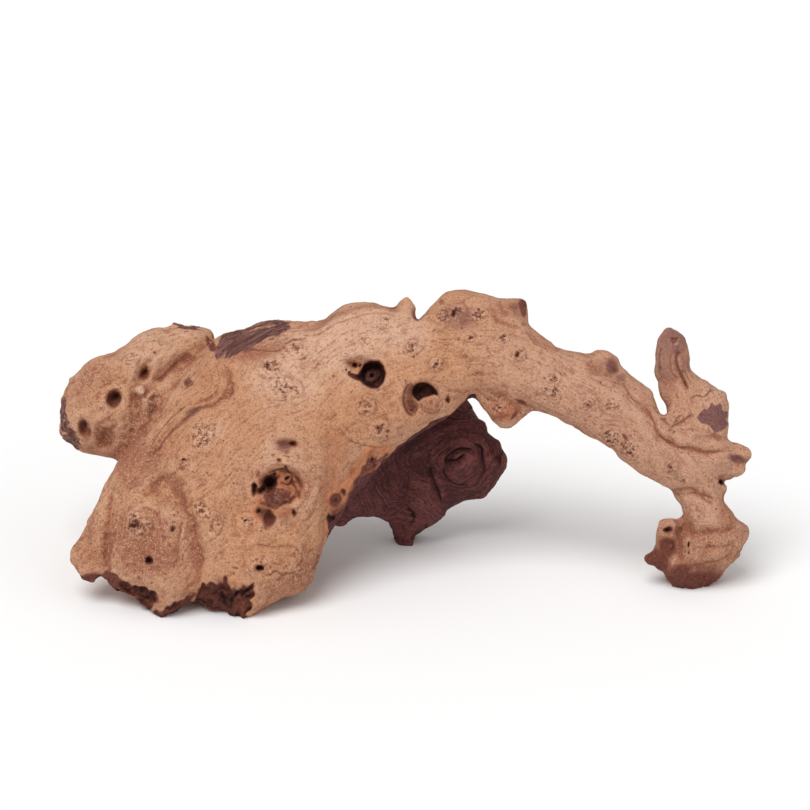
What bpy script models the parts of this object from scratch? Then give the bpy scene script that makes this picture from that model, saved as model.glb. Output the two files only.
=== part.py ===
"""A mopani root, the kind that stands in a terrarium or an aquarium.

The root is one grown piece of hard wood. Its weight is in a broad crown at the left. From the crown
grow a knobbly burl behind it, a dark heartwood leg under it and a long limb that arches to the
right and ends in an upright finger and a hooked foot. Six pieces meet at those forks.

Shapes are given as they look from the front, from a little above: across, up and deep, in
millimetres. Deep runs away from the eye. The shapes are turned into the root's own frame, in metres
with Z up, by from_view.
"""

import math

import bmesh
import bpy
import numpy as np
from mathutils import Matrix

MM = 0.001

# How the root is looked at: the height of the eye above the horizon, its distance, and the point
# of the shapes' own plane that it looks at.
VIEW_ELEVATION = math.radians(22)
VIEW_DISTANCE = 2400.0
VIEW_AIM = (-0.6, 126.6)

# A limb is a row of rings. A roundness of 2 makes the rings ellipses, and more makes them fuller.
RING_POINTS = 40
RING_SPACING = 2.5
ROUNDNESS = 2.25

# The grid on which the shapes grow together, and how far they are smoothed into each other.
GROW_VOXEL = 1.8
BLEND_STEPS = 7
BACK_BLEND_STEPS = 24
TRIANGLES_WANTED = 8000

# A surface belongs to the front or the back from a slight lean on, and fully from a stronger one.
LEAN_GAIN = 1.6
LEAN_FLOOR = 0.1

# The profile of a hollow: how square its floor is, and where its rim stands and how wide it is, as
# shares of the hollow's half-width.
BOWL_POWER = 1.3
RIM_PLACE = 1.15
RIM_WIDTH = 0.28

# Neighbouring pieces stay this far apart at a fork.
FORK_GAP = 0.3

# Ribs of a limb: each has two edge points (across, up, deep) that lie on the outline, and how far
# the limb bulges to the front and to the back between them.
CROWN_AND_ARCH = (
    ((-201, 40, 14), (-201, 33, 12), 3, 3),
    ((-194, 49, 16), (-195, 22, 12), 9, 9),
    ((-187, 64, 20), (-189, 20, 12), 14, 14),
    ((-181, 76, 24), (-182, 21, 12), 17, 18),
    ((-175, 88, 28), (-176, 19, 10), 20, 22),
    ((-169, 98, 31), (-170, 14, 8), 22, 26),
    ((-162, 110, 33), (-162, 11, 7), 24, 30),
    ((-153, 124, 35), (-153, 4, 5), 26, 34),
    ((-144, 135, 36), (-145, -2, 2), 28, 38),
    ((-135, 145, 37), (-135, 5, 3), 29, 41),
    ((-126, 155, 38), (-126, 10, 5), 31, 43),
    ((-117, 163, 38), (-118, 4, 3), 32, 44),
    ((-108, 169, 38), (-108, 4, 3), 33, 45),
    ((-98, 171.5, 38), (-98, -1, 2), 33, 46),
    ((-86, 175.5, 38), (-86, 4.5, 4), 33, 46),
    ((-74, 177, 38), (-75, 10, 8), 33, 46),
    ((-64, 177, 38), (-65, 13, 11), 32, 45),
    ((-58, 177, 37), (-59, 18, 14), 31, 44),
    ((-53, 177, 37), (-54, 28, 17), 31, 43),
    ((-50, 177, 36), (-49.5, 44, 22), 30, 42),
    ((-43, 183, 35), (-42, 56, 26), 29, 40),
    ((-34, 188, 34), (-33, 71, 28), 28, 38),
    ((-22, 188, 33), (-21, 84, 30), 27, 36),
    ((-10, 185, 32), (-9, 97, 30), 26, 34),
    ((2, 183, 30), (3, 107, 28), 25, 32),
    ((14, 181, 28), (15, 115, 26), 24, 30),
    ((26, 182, 26), (27, 122, 24), 23, 28),
    ((37, 182, 25), (38, 132, 23), 22, 26),
    ((47, 182, 24), (46, 133, 22), 22, 24),
    ((60, 180, 23), (58, 131, 20), 21, 23),
    ((73, 174, 22), (70, 127, 19), 20, 22),
    ((84, 166, 20), (79, 124, 18), 20, 21),
    ((94, 160, 19), (88, 121, 17), 19, 20),
    ((106, 157, 18), (97, 116, 16), 19, 20),
    ((117, 152, 17), (107, 110, 16), 18, 19),
    ((129, 146, 17), (118, 104, 16), 18, 19),
    ((140, 140, 17), (128, 96, 17), 17, 18),
    ((149, 133, 18), (139, 87, 18), 17, 18),
    ((157, 123, 19), (149, 82, 20), 17, 18),
    ((168, 115, 20), (158, 77, 22), 16, 18),
    ((179, 110, 22), (171, 72, 24), 15, 17),
    ((190, 106, 24), (184, 76, 26), 13, 15),
    ((196, 100, 25), (193, 84, 27), 8, 9),
)

BURL = (
    ((-207, 128, 52), (-207, 108, 52), 5, 6),
    ((-204, 138, 50), (-204, 105, 50), 11, 13),
    ((-198, 145, 48), (-198, 101, 48), 17, 19),
    ((-192, 152, 46), (-192, 98, 46), 21, 24),
    ((-184, 155, 45), (-184, 97, 44), 24, 28),
    ((-176, 158, 45), (-176, 95, 42), 26, 31),
    ((-168, 163, 45), (-168, 95, 42), 26, 33),
    ((-160, 170, 46), (-160, 98, 43), 25, 34),
    ((-151, 173, 48), (-151, 103, 45), 24, 34),
    ((-142, 172, 50), (-142, 110, 48), 22, 32),
    ((-132, 174, 52), (-132, 120, 52), 19, 29),
    ((-124, 173, 54), (-124, 130, 55), 16, 25),
    ((-118, 172, 56), (-118, 138, 57), 12, 18),
    ((-115, 169, 57), (-115, 146, 58), 6, 10),
)

HEARTWOOD_LEG = (
    ((-47, 86, 46), (-46, 54, 50), 8, 18),
    ((-37, 104, 47), (-37, 55, 56), 12, 20),
    ((-29, 116, 50), (-28, 60, 64), 14, 21),
    ((-20, 127, 54), (-20, 60, 72), 15, 22),
    ((-12, 134, 57), (-12, 58, 80), 16, 22),
    ((-3, 138, 59), (-3, 57, 84), 16, 22),
    ((9, 140, 61), (9, 60, 87), 17, 22),
    ((21, 139, 62), (21, 63, 88), 17, 22),
    ((28, 137, 63), (28, 66, 88), 17, 21),
    ((34, 133, 64), (34, 69, 87), 17, 20),
    ((40, 122, 67), (40, 70, 86), 16, 19),
    ((47, 111.5, 70), (47, 71, 84), 14, 17),
    ((52, 107, 72), (52, 78, 81), 12, 15),
    ((57, 100, 74), (57, 85, 78), 9, 11),
    ((60, 96, 75), (60, 89, 77), 5, 6),
)

LEG_TIP = (
    ((-12, 84, 76), (28, 84, 76), 16, 20),
    ((-12, 70, 82), (26, 70, 82), 16, 20),
    ((-11, 60, 88), (23, 62, 88), 15, 19),
    ((-9, 54, 95), (17, 55, 95), 13, 17),
    ((-7, 48, 101), (11, 49, 101), 11, 14),
    ((-6, 40, 106), (6, 40, 106), 9, 11),
)

FINGER = (
    ((157, 100, 20), (190, 100, 23), 12, 14),
    ((156, 115, 20), (193, 111, 24), 11, 13),
    ((156, 123, 21), (194, 123, 25), 10, 12),
    ((156, 130, 22), (191, 133, 26), 9, 11),
    ((154, 136, 23), (181, 140, 26), 9, 10),
    ((151, 142, 24), (173, 146, 26), 9, 10),
    ((149.5, 150, 25), (171, 151, 26), 9, 10),
    ((149.5, 158, 26), (169.5, 160, 27), 9, 9),
    ((151, 165, 27), (167, 166, 27), 8, 8),
    ((153.5, 170, 28), (164, 170, 28), 6, 6),
    ((156.5, 173, 28), (161, 173, 28), 3, 3),
)

FOOT = (
    ((160, 84, 23), (189, 90, 25), 13, 15),
    ((162, 74, 25), (189, 74, 26), 13, 14),
    ((165, 66, 27), (192.5, 65, 28), 14, 14),
    ((167, 58, 29), (199, 59, 30), 15, 15),
    ((166, 49, 32), (206, 51, 33), 17, 17),
    ((160, 40, 36), (202, 41, 36), 18, 18),
    ((154, 30, 40), (195, 31, 39), 18, 18),
    ((156, 23, 44), (184, 24, 43), 15, 16),
    ((163, 16, 47), (177, 16, 47), 11, 12),
)

# Smaller outgrowths, as the same kind of ribs.
TOP_BURL = (
    ((14, 184, 26), (14, 168, 26), 8, 10),
    ((20, 191, 27), (20, 166, 26), 13, 15),
    ((27, 195, 27), (27, 164, 26), 16, 18),
    ((35, 196, 27), (35, 162, 25), 17, 19),
    ((44, 194, 27), (44, 162, 25), 17, 18),
    ((56, 191, 27), (56, 162, 24), 15, 17),
    ((66, 191, 28), (66, 164, 24), 13, 15),
    ((72, 190.5, 28), (72, 168, 26), 11, 13),
)

UNDER_KNOB = (
    ((43, 136, 22), (42.5, 131, 22), 5, 6),
    ((50, 136, 22), (48, 123.5, 22), 8, 9),
    ((56, 135, 22), (54, 115, 22), 10, 11),
    ((62, 134, 22), (61, 112.5, 22), 11, 12),
    ((69, 131, 21), (67, 117, 21), 9, 10),
    ((75, 128, 20), (74, 122.5, 20), 5, 6),
)

ARCH_KNOB = (
    ((110, 156, 19), (108, 144, 17), 6, 7),
    ((115, 159, 19), (112, 142, 17), 9, 10),
    ((122, 158, 19), (118, 140, 17), 9, 10),
    ((128, 152, 18), (124, 138, 17), 8, 9),
    ((135, 144, 18), (131, 134, 17), 5, 6),
)

UPPER_SPUR = (
    ((186, 108, 24), (186, 90, 25), 9, 10),
    ((194, 104, 25), (194, 91, 26), 7, 8),
    ((201, 102.5, 26), (200, 92, 26), 5.5, 6),
    ((207.5, 99, 26), (207, 94, 26), 4, 4),
)

LOWER_SPUR = (
    ((188, 94, 26), (188, 81, 26), 8, 9),
    ((196, 93, 27), (196, 82.5, 27), 6, 7),
    ((203.5, 91, 27), (203.5, 85, 27), 4, 4),
)

NECK_KNOB = (
    ((182, 84, 27), (182, 70, 27), 9, 9),
    ((189, 81, 27), (189, 70, 27), 6, 7),
    ((192, 78, 27), (191.5, 72, 27), 3, 3),
)

FOOT_KNOB = (
    ((154, 58, 24), (163, 59, 26), 5, 6),
    ((150.5, 54, 25), (167, 54, 27), 8, 9),
    ((150, 46, 28), (172, 46, 30), 10, 11),
    ((149, 38, 33), (176, 38, 34), 11, 12),
    ((147, 33, 36), (178, 32, 37), 11, 12),
)

FOOT_SPUR = (
    ((160, 42, 34), (160, 28, 37), 8, 9),
    ((150, 39, 34), (150, 30, 36), 6, 6),
    ((143, 37.5, 34), (143, 32.5, 35), 4, 4),
)

CROWN_FLAKE = (
    ((-9, 182, 30), (9, 180, 30), 9, 7),
    ((-6, 186, 31), (6, 184, 31), 6, 5),
    ((-3, 190, 32), (2, 189, 32), 3, 2.5),
)

BURL_SPIKE = (
    ((-142, 168, 48), (-124, 168, 50), 10, 10),
    ((-142, 172, 49), (-130, 172, 50), 4, 4),
    ((-142, 176, 49), (-137, 175, 49), 2, 2),
)

# The heel is out of sight behind the crown, and the crown leans back on it.
HEEL = (
    ((-150, 100, 46), (-98, 100, 46), 14, 20),
    ((-152, 82, 58), (-100, 82, 58), 18, 22),
    ((-151, 62, 69), (-103, 62, 69), 20, 22),
    ((-147, 46, 78), (-108, 46, 78), 19, 18),
    ((-142, 32, 87), (-113, 32, 87), 15, 13),
)

# Every limb and outgrowth.
LIMBS = {
    "crown": CROWN_AND_ARCH,
    "burl": BURL,
    "leg": HEARTWOOD_LEG,
    "leg_tip": LEG_TIP,
    "finger": FINGER,
    "foot": FOOT,
    "top_burl": TOP_BURL,
    "under_knob": UNDER_KNOB,
    "arch_knob": ARCH_KNOB,
    "upper_spur": UPPER_SPUR,
    "lower_spur": LOWER_SPUR,
    "neck_knob": NECK_KNOB,
    "foot_knob": FOOT_KNOB,
    "foot_spur": FOOT_SPUR,
    "crown_flake": CROWN_FLAKE,
    "burl_spike": BURL_SPIKE,
    "heel": HEEL,
}

# Rounded swellings: the middle (across, up, deep) and the three half-widths.
SWELLINGS = {
    "crown_back": ((-82, 92, 64), (50, 52, 28)),
    "crown_stub": ((-58, 126, 86), (14, 12, 20)),
    "burl_back": ((-160, 118, 66), (26, 28, 20)),
    "face_low": ((-96, 44, 2), (34, 30, 10)),
    "left_lump": ((-152, 48, 2), (22, 34, 12)),
    "foot_heel": ((174, 34, 42), (20, 16, 18)),
}

# Broad rises of the front: the middle (across, up), the two half-widths and the height.
FRONT_RISES = {
    "face": ((-58, 114), (42, 36), 8),
    "leg_knot": ((34, 92), (15, 16), 5),
    "hump": ((36, 172), (22, 12), 2.5),
    "lower_burl": ((-190, 124), (14, 12), 2),
}

# Hollows of the surface: the middle (across, up), the two half-widths, the turn in degrees, the
# depth, and how high the rim around it stands.
FRONT_HOLLOWS = {
    "eye_socket": ((-20.4, 144.9), (8.5, 8.5), 0, 8, 0.5),
    "eye_saucer": ((-30, 151), (6, 5), 20, 2.5, 0),
    "brow_socket": ((11.5, 136), (9, 6.5), 0, 7, 0.5),
    "brow_crescent": ((3.5, 127), (5, 6), 0, 3, 0),
    "amber_knot": ((-73, 77), (16, 14), 0, 4, 1.6),
    "amber_cavity": ((-85, 78.5), (6, 5), 0, 4, 0),
    "amber_crevice": ((-82.8, 60.6), (7, 6), 0, 4, 0),
    "high_hollow": ((-72, 103), (9, 5), 0, 3.5, 0),
    "burl_pit": ((-175.8, 130.3), (6.5, 6.5), 0, 6, 0.6),
    "burl_slot": ((-157.3, 145.8), (5.5, 10), -30, 5, 0.5),
    "burl_hollow": ((-193.4, 112.8), (5.5, 9), 0, 5, 0),
    "burl_shade": ((-180.6, 106), (7, 9), -20, 4, 0),
    "broken_edge": ((-108.6, 12), (18, 10), 0, 6, 0),
    "splinter_edge": ((-155, 12), (18, 9), -25, 4, 0),
    "rim_pit": ((-19, 94.5), (7, 6), 0, 4, 0.5),
    "foot_pit": ((157, 52), (5, 3.5), 0, 4, 0.4),
}
BACK_HOLLOWS = {
    "back_socket": ((-58, 118), (10, 8), 15, 7, 1),
    "back_basin": ((-112, 96), (22, 13), 30, 6, 0.5),
    "back_pit": ((-92, 52), (7, 9), 0, 5, 0.6),
    "burl_back_pit": ((-176, 132), (8, 6), 20, 5, 0.6),
    "stub_end": ((-58, 126), (9, 8), 0, 8, 1),
    "arch_back_pit": ((92, 142), (8, 5), -30, 4, 0.5),
    "arch_back_hollow": ((132, 112), (12, 6), -35, 3.5, 0),
    "hump_back_hollow": ((36, 176), (9, 6), 10, 4, 0.5),
}

# Furrows: the route (across, up), the half-width and the depth.
FRONT_FURROWS = {
    "shoulder": (
        ((-112, 155), (-106, 147), (-105, 135), (-112, 127), (-128, 120), (-142, 107), (-156, 83)),
        4.5, 3,
    ),
    "burl_valley": (
        ((-116, 163), (-126, 153), (-136, 151), (-148, 142), (-160, 131), (-162, 117), (-171, 99)),
        4.5, 3.5,
    ),
    "toe_crease": (((-177, 81), (-177, 66), (-178.5, 50), (-179, 37), (-179.5, 22)), 3.5, 5),
    "lump_crease": (
        ((-158, 72), (-150, 78), (-141, 82), (-135, 75), (-131, 63), (-126, 44), (-124, 31), (-127, 18)),
        4.5, 3,
    ),
    "arch_crease": (
        ((115, 144), (130, 138), (138, 128), (146, 121), (151, 110), (160, 103), (181, 98), (201, 98)),
        3.5, 2.2,
    ),
    "neck_fold": (((158, 75.5), (173, 75.5), (182, 72), (190, 68)), 3, 1.8),
    "foot_fold": (((166, 55), (178, 51), (191, 51), (204, 55)), 4, 1.6),
    "foot_split": (((166, 56), (164, 46), (164.5, 38), (169, 30)), 3, 3),
    "leg_crack": (((8, 97), (10, 88), (15, 77), (21, 66)), 3, 2),
}
BACK_FURROWS = {
    "back_shoulder": (((-136, 160), (-128, 138), (-132, 112), (-122, 84), (-126, 58)), 5, 4),
    "back_flow": (((-30, 170), (-44, 140), (-66, 90), (-78, 52), (-82, 26)), 5, 3),
    "back_bend": (((24, 168), (62, 158), (98, 138), (132, 100), (160, 84)), 4, 2.5),
}

# The surface swells out a little to make up for the smoothing, and is nowhere quite even.
SWELL_OUT = 0.2
UNEVENNESS = 0.55
UNEVEN_SIZE = 26.0

# The underside, in metres: what reaches less than the rim's depth under the ground is cut flat, and
# what would reach the arch's depth is arched up to stand clear of it.
RIM_DEPTH = 0.003
ARCH_DEPTH = 0.008
ARCH_HEIGHT = 0.003

# The forks, in the order in which the pieces come off: an outline in the view, anticlockwise, and
# how deep its front is at a point of the view. The leg grows out from behind the crown's edge.
IN_FRONT, FAR_BACK = -160.0, 260.0
LEG_FORK_CORNER = (-42, 56, 34)
LEG_FORK_RISE = 0.9
LEG_FORK_SLANT = 0.95
LEG_FORK_SLOPE = math.hypot(1, LEG_FORK_RISE, LEG_FORK_RISE * LEG_FORK_SLANT)


def all_of_it(across, up):
    return IN_FRONT


def behind_crown(across, up):
    """A slanting plane along the crown's lower right edge, deeper further up and to the left."""
    corner_across, corner_up, corner_deep = LEG_FORK_CORNER
    above_edge = (up - corner_up) - LEG_FORK_SLANT * (across - corner_across)
    return corner_deep + LEG_FORK_RISE * above_edge


FORKS = {
    "left_burl": (((-240, 22), (-115.8, 164), (-115.2, 200), (-240, 200)), all_of_it),
    "upright_finger": (
        ((154.6, 121.6), (240, 86), (240, 220), (140, 220), (147, 145), (151.5, 131), (154, 124)),
        all_of_it,
    ),
    "hooked_foot": (
        ((120, -20), (240, -20), (240, 87.5), (189.6, 77.4), (159.6, 71.4), (120, 60)),
        all_of_it,
    ),
    "arching_limb": (
        ((38.4, 133.8), (50, 117), (75, 95), (100, 20), (240, 20), (240, 220), (0, 220), (7.2, 182.4)),
        all_of_it,
    ),
    "heartwood_leg": (((-43, 20), (70, 20), (70, 142), (-43, 142)), behind_crown),
}

# Edges sharper than this stay sharp in the shading.
SHARP_FROM = math.radians(50)

# Colour and roughness of each piece's wood.
WOOD = {
    "root_crown": ((0.42, 0.19, 0.11), 0.75),
    "left_burl": ((0.40, 0.19, 0.12), 0.78),
    "heartwood_leg": ((0.065, 0.022, 0.022), 0.7),
    "arching_limb": ((0.55, 0.31, 0.2), 0.72),
    "upright_finger": ((0.45, 0.23, 0.16), 0.74),
    "hooked_foot": ((0.33, 0.14, 0.08), 0.78),
}


def from_view(across, up, deep):
    """A point of the view, in millimetres, in the root's own frame, in metres."""
    spread = 1 + deep / VIEW_DISTANCE
    x = VIEW_AIM[0] + (across - VIEW_AIM[0]) * spread
    v = VIEW_AIM[1] + (up - VIEW_AIM[1]) * spread
    sine, cosine = math.sin(VIEW_ELEVATION), math.cos(VIEW_ELEVATION)
    return np.stack([x, v * sine + deep * cosine, v * cosine - deep * sine], -1) * MM


def through(rows, count):
    """count points, evenly spaced, on the smooth curve that passes through the rows."""
    rows = np.asarray(rows, float)
    padded = np.vstack([2 * rows[0] - rows[1], rows, 2 * rows[-1] - rows[-2]])
    place = np.linspace(0, len(rows) - 1, count)
    start = np.minimum(place.astype(int), len(rows) - 2)
    t = (place - start)[:, None]
    a, b, c, d = (padded[start + k] for k in range(4))
    return 0.5 * (2 * b + (c - a) * t + (2 * a - 5 * b + 4 * c - d) * t**2 + (3 * b - a - 3 * c + d) * t**3)


def add_object(name, mesh):
    obj = bpy.data.objects.new(name, mesh)
    bpy.context.scene.collection.objects.link(obj)
    return obj


def add_shape(name, shape):
    """An object with the faces of a bmesh, which is then freed."""
    mesh = bpy.data.meshes.new(name)
    shape.to_mesh(mesh)
    shape.free()
    return add_object(name, mesh)


def add_closed(name, points, faces):
    """An object with these faces, all of them turned outwards."""
    mesh = bpy.data.meshes.new(name)
    mesh.from_pydata(points.tolist(), [], faces)
    shape = bmesh.new()
    shape.from_mesh(mesh)
    bpy.data.meshes.remove(mesh)
    bmesh.ops.recalc_face_normals(shape, faces=shape.faces)
    return add_shape(name, shape)


def tube_faces(rings, ring_points):
    """The faces of a tube of rings, with both ends closed."""
    corners = np.arange(rings * ring_points).reshape(rings, ring_points)
    after = np.roll(corners, -1, axis=1)
    sides = np.stack([corners[:-1], after[:-1], after[1:], corners[1:]], -1).reshape(-1, 4)
    return [corners[0].tolist(), corners[-1, ::-1].tolist(), *sides.tolist()]


def add_limb(name, ribs):
    """A closed limb whose outline, seen from the front, passes through the ribs' edge points."""
    rows = np.array([(*top, *foot, front, back) for top, foot, front, back in ribs], float)
    middles = (rows[:, 0:3] + rows[:, 3:6]) / 2
    length = np.linalg.norm(np.diff(middles, axis=0), axis=1).sum()
    rows = through(rows, max(len(ribs), int(length / RING_SPACING)))
    tops, feet, front, back = rows[:, None, 0:3], rows[:, None, 3:6], rows[:, 6:7], rows[:, 7:8]
    angle = np.linspace(0, 2 * math.pi, RING_POINTS, endpoint=False)
    along = np.sign(np.cos(angle)) * np.abs(np.cos(angle)) ** (2 / ROUNDNESS)
    aside = np.sign(np.sin(angle)) * np.abs(np.sin(angle)) ** (2 / ROUNDNESS)
    rings = (tops + feet) / 2 + (tops - feet) / 2 * along[:, None]
    rings[..., 2] += np.where(aside < 0, front, back) * aside
    return add_closed(name, rings.reshape(-1, 3), tube_faces(len(rows), RING_POINTS))


def add_swelling(name, middle, radii):
    shape = bmesh.new()
    bmesh.ops.create_icosphere(shape, subdivisions=4, radius=1)
    shape.transform(Matrix.Translation(middle) @ Matrix.Diagonal((*radii, 1)))
    return add_shape(name, shape)


def join(name, objects):
    """One object that holds the faces of all of them."""
    shape = bmesh.new()
    for obj in objects:
        shape.from_mesh(obj.data)
        bpy.data.objects.remove(obj)
    return add_shape(name, shape)


def apply(obj, *modifiers):
    """obj with these modifiers worked into its mesh; each is a type and its settings."""
    for kind, settings in modifiers:
        modifier = obj.modifiers.new(kind.title(), kind)
        for key, value in settings.items():
            setattr(modifier, key, value)
    graph = bpy.context.evaluated_depsgraph_get()
    mesh, old = bpy.data.meshes.new_from_object(obj.evaluated_get(graph)), obj.data
    obj.modifiers.clear()
    obj.data = mesh
    bpy.data.meshes.remove(old)
    return obj


def surface(obj):
    """The vertices of obj and their normals."""
    points = np.empty(len(obj.data.vertices) * 3, np.float32)
    normals = np.empty_like(points)
    obj.data.vertices.foreach_get("co", points)
    obj.data.vertex_normals.foreach_get("vector", normals)
    return points.reshape(-1, 3).astype(float), normals.reshape(-1, 3).astype(float)


def set_points(obj, points):
    obj.data.vertices.foreach_set("co", points.astype(np.float32).ravel())
    obj.data.update()


def facing(normals, side):
    """1 where the surface looks to the front (side -1) or to the back (side 1), fading to 0."""
    return np.clip(normals[:, 2] * side * LEAN_GAIN + LEAN_FLOOR, 0, 1)


def grow_root():
    """All the limbs and swellings, grown into one body, in view millimetres."""
    parts = [add_limb(name, ribs) for name, ribs in LIMBS.items()]
    parts += [add_swelling(name, *shape) for name, shape in SWELLINGS.items()]
    root = join("root", parts)
    apply(
        root,
        ("REMESH", {"mode": "VOXEL", "voxel_size": GROW_VOXEL, "adaptivity": 0.0}),
        ("SMOOTH", {"factor": 0.5, "iterations": BLEND_STEPS}),
    )
    behind = root.vertex_groups.new(name="behind")
    for index, weight in enumerate(facing(surface(root)[1], 1)):
        behind.add([index], float(weight), "REPLACE")
    return apply(
        root,
        ("SMOOTH", {"factor": 0.5, "iterations": BACK_BLEND_STEPS, "vertex_group": "behind"}),
    )


def rise_height(points, middle, radii, height):
    away = np.hypot((points[:, 0] - middle[0]) / radii[0], (points[:, 1] - middle[1]) / radii[1])
    return height * np.exp(-1.2 * away**2)


def hollow_depth(points, middle, radii, tilt, depth, rim):
    """How deep a round hollow is at each point, with a raised rim around it."""
    turn = math.radians(tilt)
    across, up = points[:, 0] - middle[0], points[:, 1] - middle[1]
    along = (across * math.cos(turn) + up * math.sin(turn)) / radii[0]
    aside = (up * math.cos(turn) - across * math.sin(turn)) / radii[1]
    away = np.hypot(along, aside)
    bowl = np.clip(1 - away**2, 0, 1) ** BOWL_POWER
    ring = np.exp(-(((away - RIM_PLACE) / RIM_WIDTH) ** 2))
    return depth * bowl - rim * ring


def furrow_depth(points, route, width, depth):
    """How deep a furrow along the route is at each point; it fades at both ends."""
    route = through(route, 8 * len(route))
    starts, steps = route[:-1], np.diff(route, axis=0)
    gap = points[:, None, :2] - starts
    along = np.clip((gap * steps).sum(-1) / (steps**2).sum(-1), 0, 1)
    away = np.linalg.norm(gap - along[..., None] * steps, axis=-1)
    nearest = away.argmin(1)
    rows = np.arange(len(points))
    place = (nearest + along[rows, nearest]) / len(steps)
    fade = np.clip(np.minimum(place, 1 - place) * 6, 0, 1)
    return depth * fade * np.exp(-((away[rows, nearest] / width) ** 2))


def unevenness(points, size):
    """A gentle waviness between -1 and 1, whose waves are about size apart."""
    x, y, z = (points * 2 * math.pi / size).T
    return (
        np.sin(x + 1.7 * np.sin(0.61 * y + 0.4)) * np.cos(0.83 * z + 1.1 * np.sin(0.47 * x))
        + np.sin(0.71 * y - 0.9 + np.sin(0.9 * z)) * np.cos(0.57 * x + 0.6)
    ) / 2


def shape_surface(root):
    """Rises, hollows, furrows and unevenness, worked into the grown root."""
    points, normals = surface(root)
    points += normals * (SWELL_OUT + UNEVENNESS * unevenness(points, UNEVEN_SIZE))[:, None]
    sink = np.zeros(len(points))
    for rise in FRONT_RISES.values():
        sink -= facing(normals, -1) * rise_height(points, *rise)
    for side, hollows in ((-1, FRONT_HOLLOWS), (1, BACK_HOLLOWS)):
        for hollow in hollows.values():
            sink -= side * facing(normals, side) * hollow_depth(points, *hollow)
    for side, furrows in ((-1, FRONT_FURROWS), (1, BACK_FURROWS)):
        lean = facing(normals, side)
        near = lean > 0
        for furrow in furrows.values():
            sink[near] -= side * lean[near] * furrow_depth(points[near], *furrow)
    points[:, 2] += sink
    set_points(root, points)


def settle(points):
    """What would be under the ground is arched back up, so that the root rests on rims and knobs."""
    under = np.clip(-points[:, 2], 0, None)
    lift = np.clip((under - RIM_DEPTH) / (ARCH_DEPTH - RIM_DEPTH), 0, 1) ** 2
    points[:, 2] += (under + ARCH_HEIGHT) * lift
    return points


def cut(obj, cutter, how):
    """obj after a Boolean with the cutter, which is then removed."""
    apply(obj, ("BOOLEAN", {"operation": how, "object": cutter, "solver": "EXACT"}))
    bpy.data.objects.remove(cutter)
    return obj


def ground_block():
    shape = bmesh.new()
    bmesh.ops.create_cube(shape, size=1)
    shape.transform(Matrix.Translation((0, 0, -0.5)))
    return add_shape("ground", shape)


def grown_outline(outline, gap):
    """The outline moved outwards by the gap along every edge; its corners run anticlockwise."""
    outline = np.array(outline, float)
    edges = np.roll(outline, -1, axis=0) - outline
    out = np.stack([edges[:, 1], -edges[:, 0]], 1) / np.linalg.norm(edges, axis=1)[:, None]
    before = np.roll(out, 1, axis=0)
    share = 1 + (out * before).sum(1)
    return outline + gap * (out + before) / share[:, None]


def fork_block(outline, front, gap):
    """A closed block behind an outline of the view; the gap makes it bigger all round."""
    grown = grown_outline(outline, gap)
    near = np.array([front(*corner) for corner in grown]) - gap * LEG_FORK_SLOPE
    far = np.full(len(grown), FAR_BACK)
    points = np.concatenate([from_view(*grown.T, near), from_view(*grown.T, far)])
    return add_closed("block", points, tube_faces(2, len(grown)))


def split_off(root, name, outline, front):
    """The piece of the root in the fork's block. The rest keeps the fork's gap to it."""
    piece = add_object(name, root.data.copy())
    cut(piece, fork_block(outline, front, 0), "INTERSECT")
    cut(root, fork_block(outline, front, FORK_GAP), "DIFFERENCE")
    return piece


def bodies_of(shape):
    """The vertices of each separate body of a bmesh, the smallest body first."""
    left, bodies = set(shape.verts), []
    while left:
        body, edge = set(), [left.pop()]
        while edge:
            vertex = edge.pop()
            body.add(vertex)
            found = {link.other_vert(vertex) for link in vertex.link_edges} & left
            left -= found
            edge.extend(found)
        bodies.append(body)
    return sorted(bodies, key=len)


def keep_largest(obj):
    """Only the largest body of obj, without the crumbs that a cut can leave."""
    shape = bmesh.new()
    shape.from_mesh(obj.data)
    crumbs = [vertex for body in bodies_of(shape)[:-1] for vertex in body]
    bmesh.ops.delete(shape, geom=crumbs, context="VERTS")
    shape.to_mesh(obj.data)
    shape.free()


def wood(name, colour, roughness):
    material = bpy.data.materials.new(name)
    material.use_nodes = True
    bare = material.node_tree.nodes["Principled BSDF"]
    bare.inputs["Base Color"].default_value = (*colour, 1)
    bare.inputs["Roughness"].default_value = roughness
    bare.inputs["Metallic"].default_value = 0
    return material


def stand_on_origin(pieces):
    """The origin goes under the middle of the whole root, on the ground."""
    corners = np.concatenate([surface(piece)[0] for piece in pieces])
    low, high = corners.min(0), corners.max(0)
    shift = -np.array([(low[0] + high[0]) / 2, (low[1] + high[1]) / 2, low[2]])
    for piece in pieces:
        set_points(piece, surface(piece)[0] + shift)
    print("origin shift in mm", (shift / MM).round(2))


def dress(piece):
    piece.data.shade_smooth()
    piece.data.set_sharp_from_angle(angle=SHARP_FROM)
    piece.data.materials.clear()
    piece.data.materials.append(wood(f"{piece.name} wood", *WOOD[piece.name]))


def clear_scene():
    for obj in list(bpy.data.objects):
        bpy.data.objects.remove(obj)


def main():
    clear_scene()
    root = grow_root()
    shape_surface(root)
    points, _ = surface(root)
    set_points(root, settle(from_view(*points.T)))
    apply(root, ("DECIMATE", {"ratio": TRIANGLES_WANTED / (2 * len(points))}))
    cut(root, ground_block(), "DIFFERENCE")
    pieces = [split_off(root, name, *fork) for name, fork in FORKS.items()]
    root.name = "root_crown"
    pieces.append(root)
    for piece in pieces:
        keep_largest(piece)
        dress(piece)
    stand_on_origin(pieces)


main()
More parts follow.
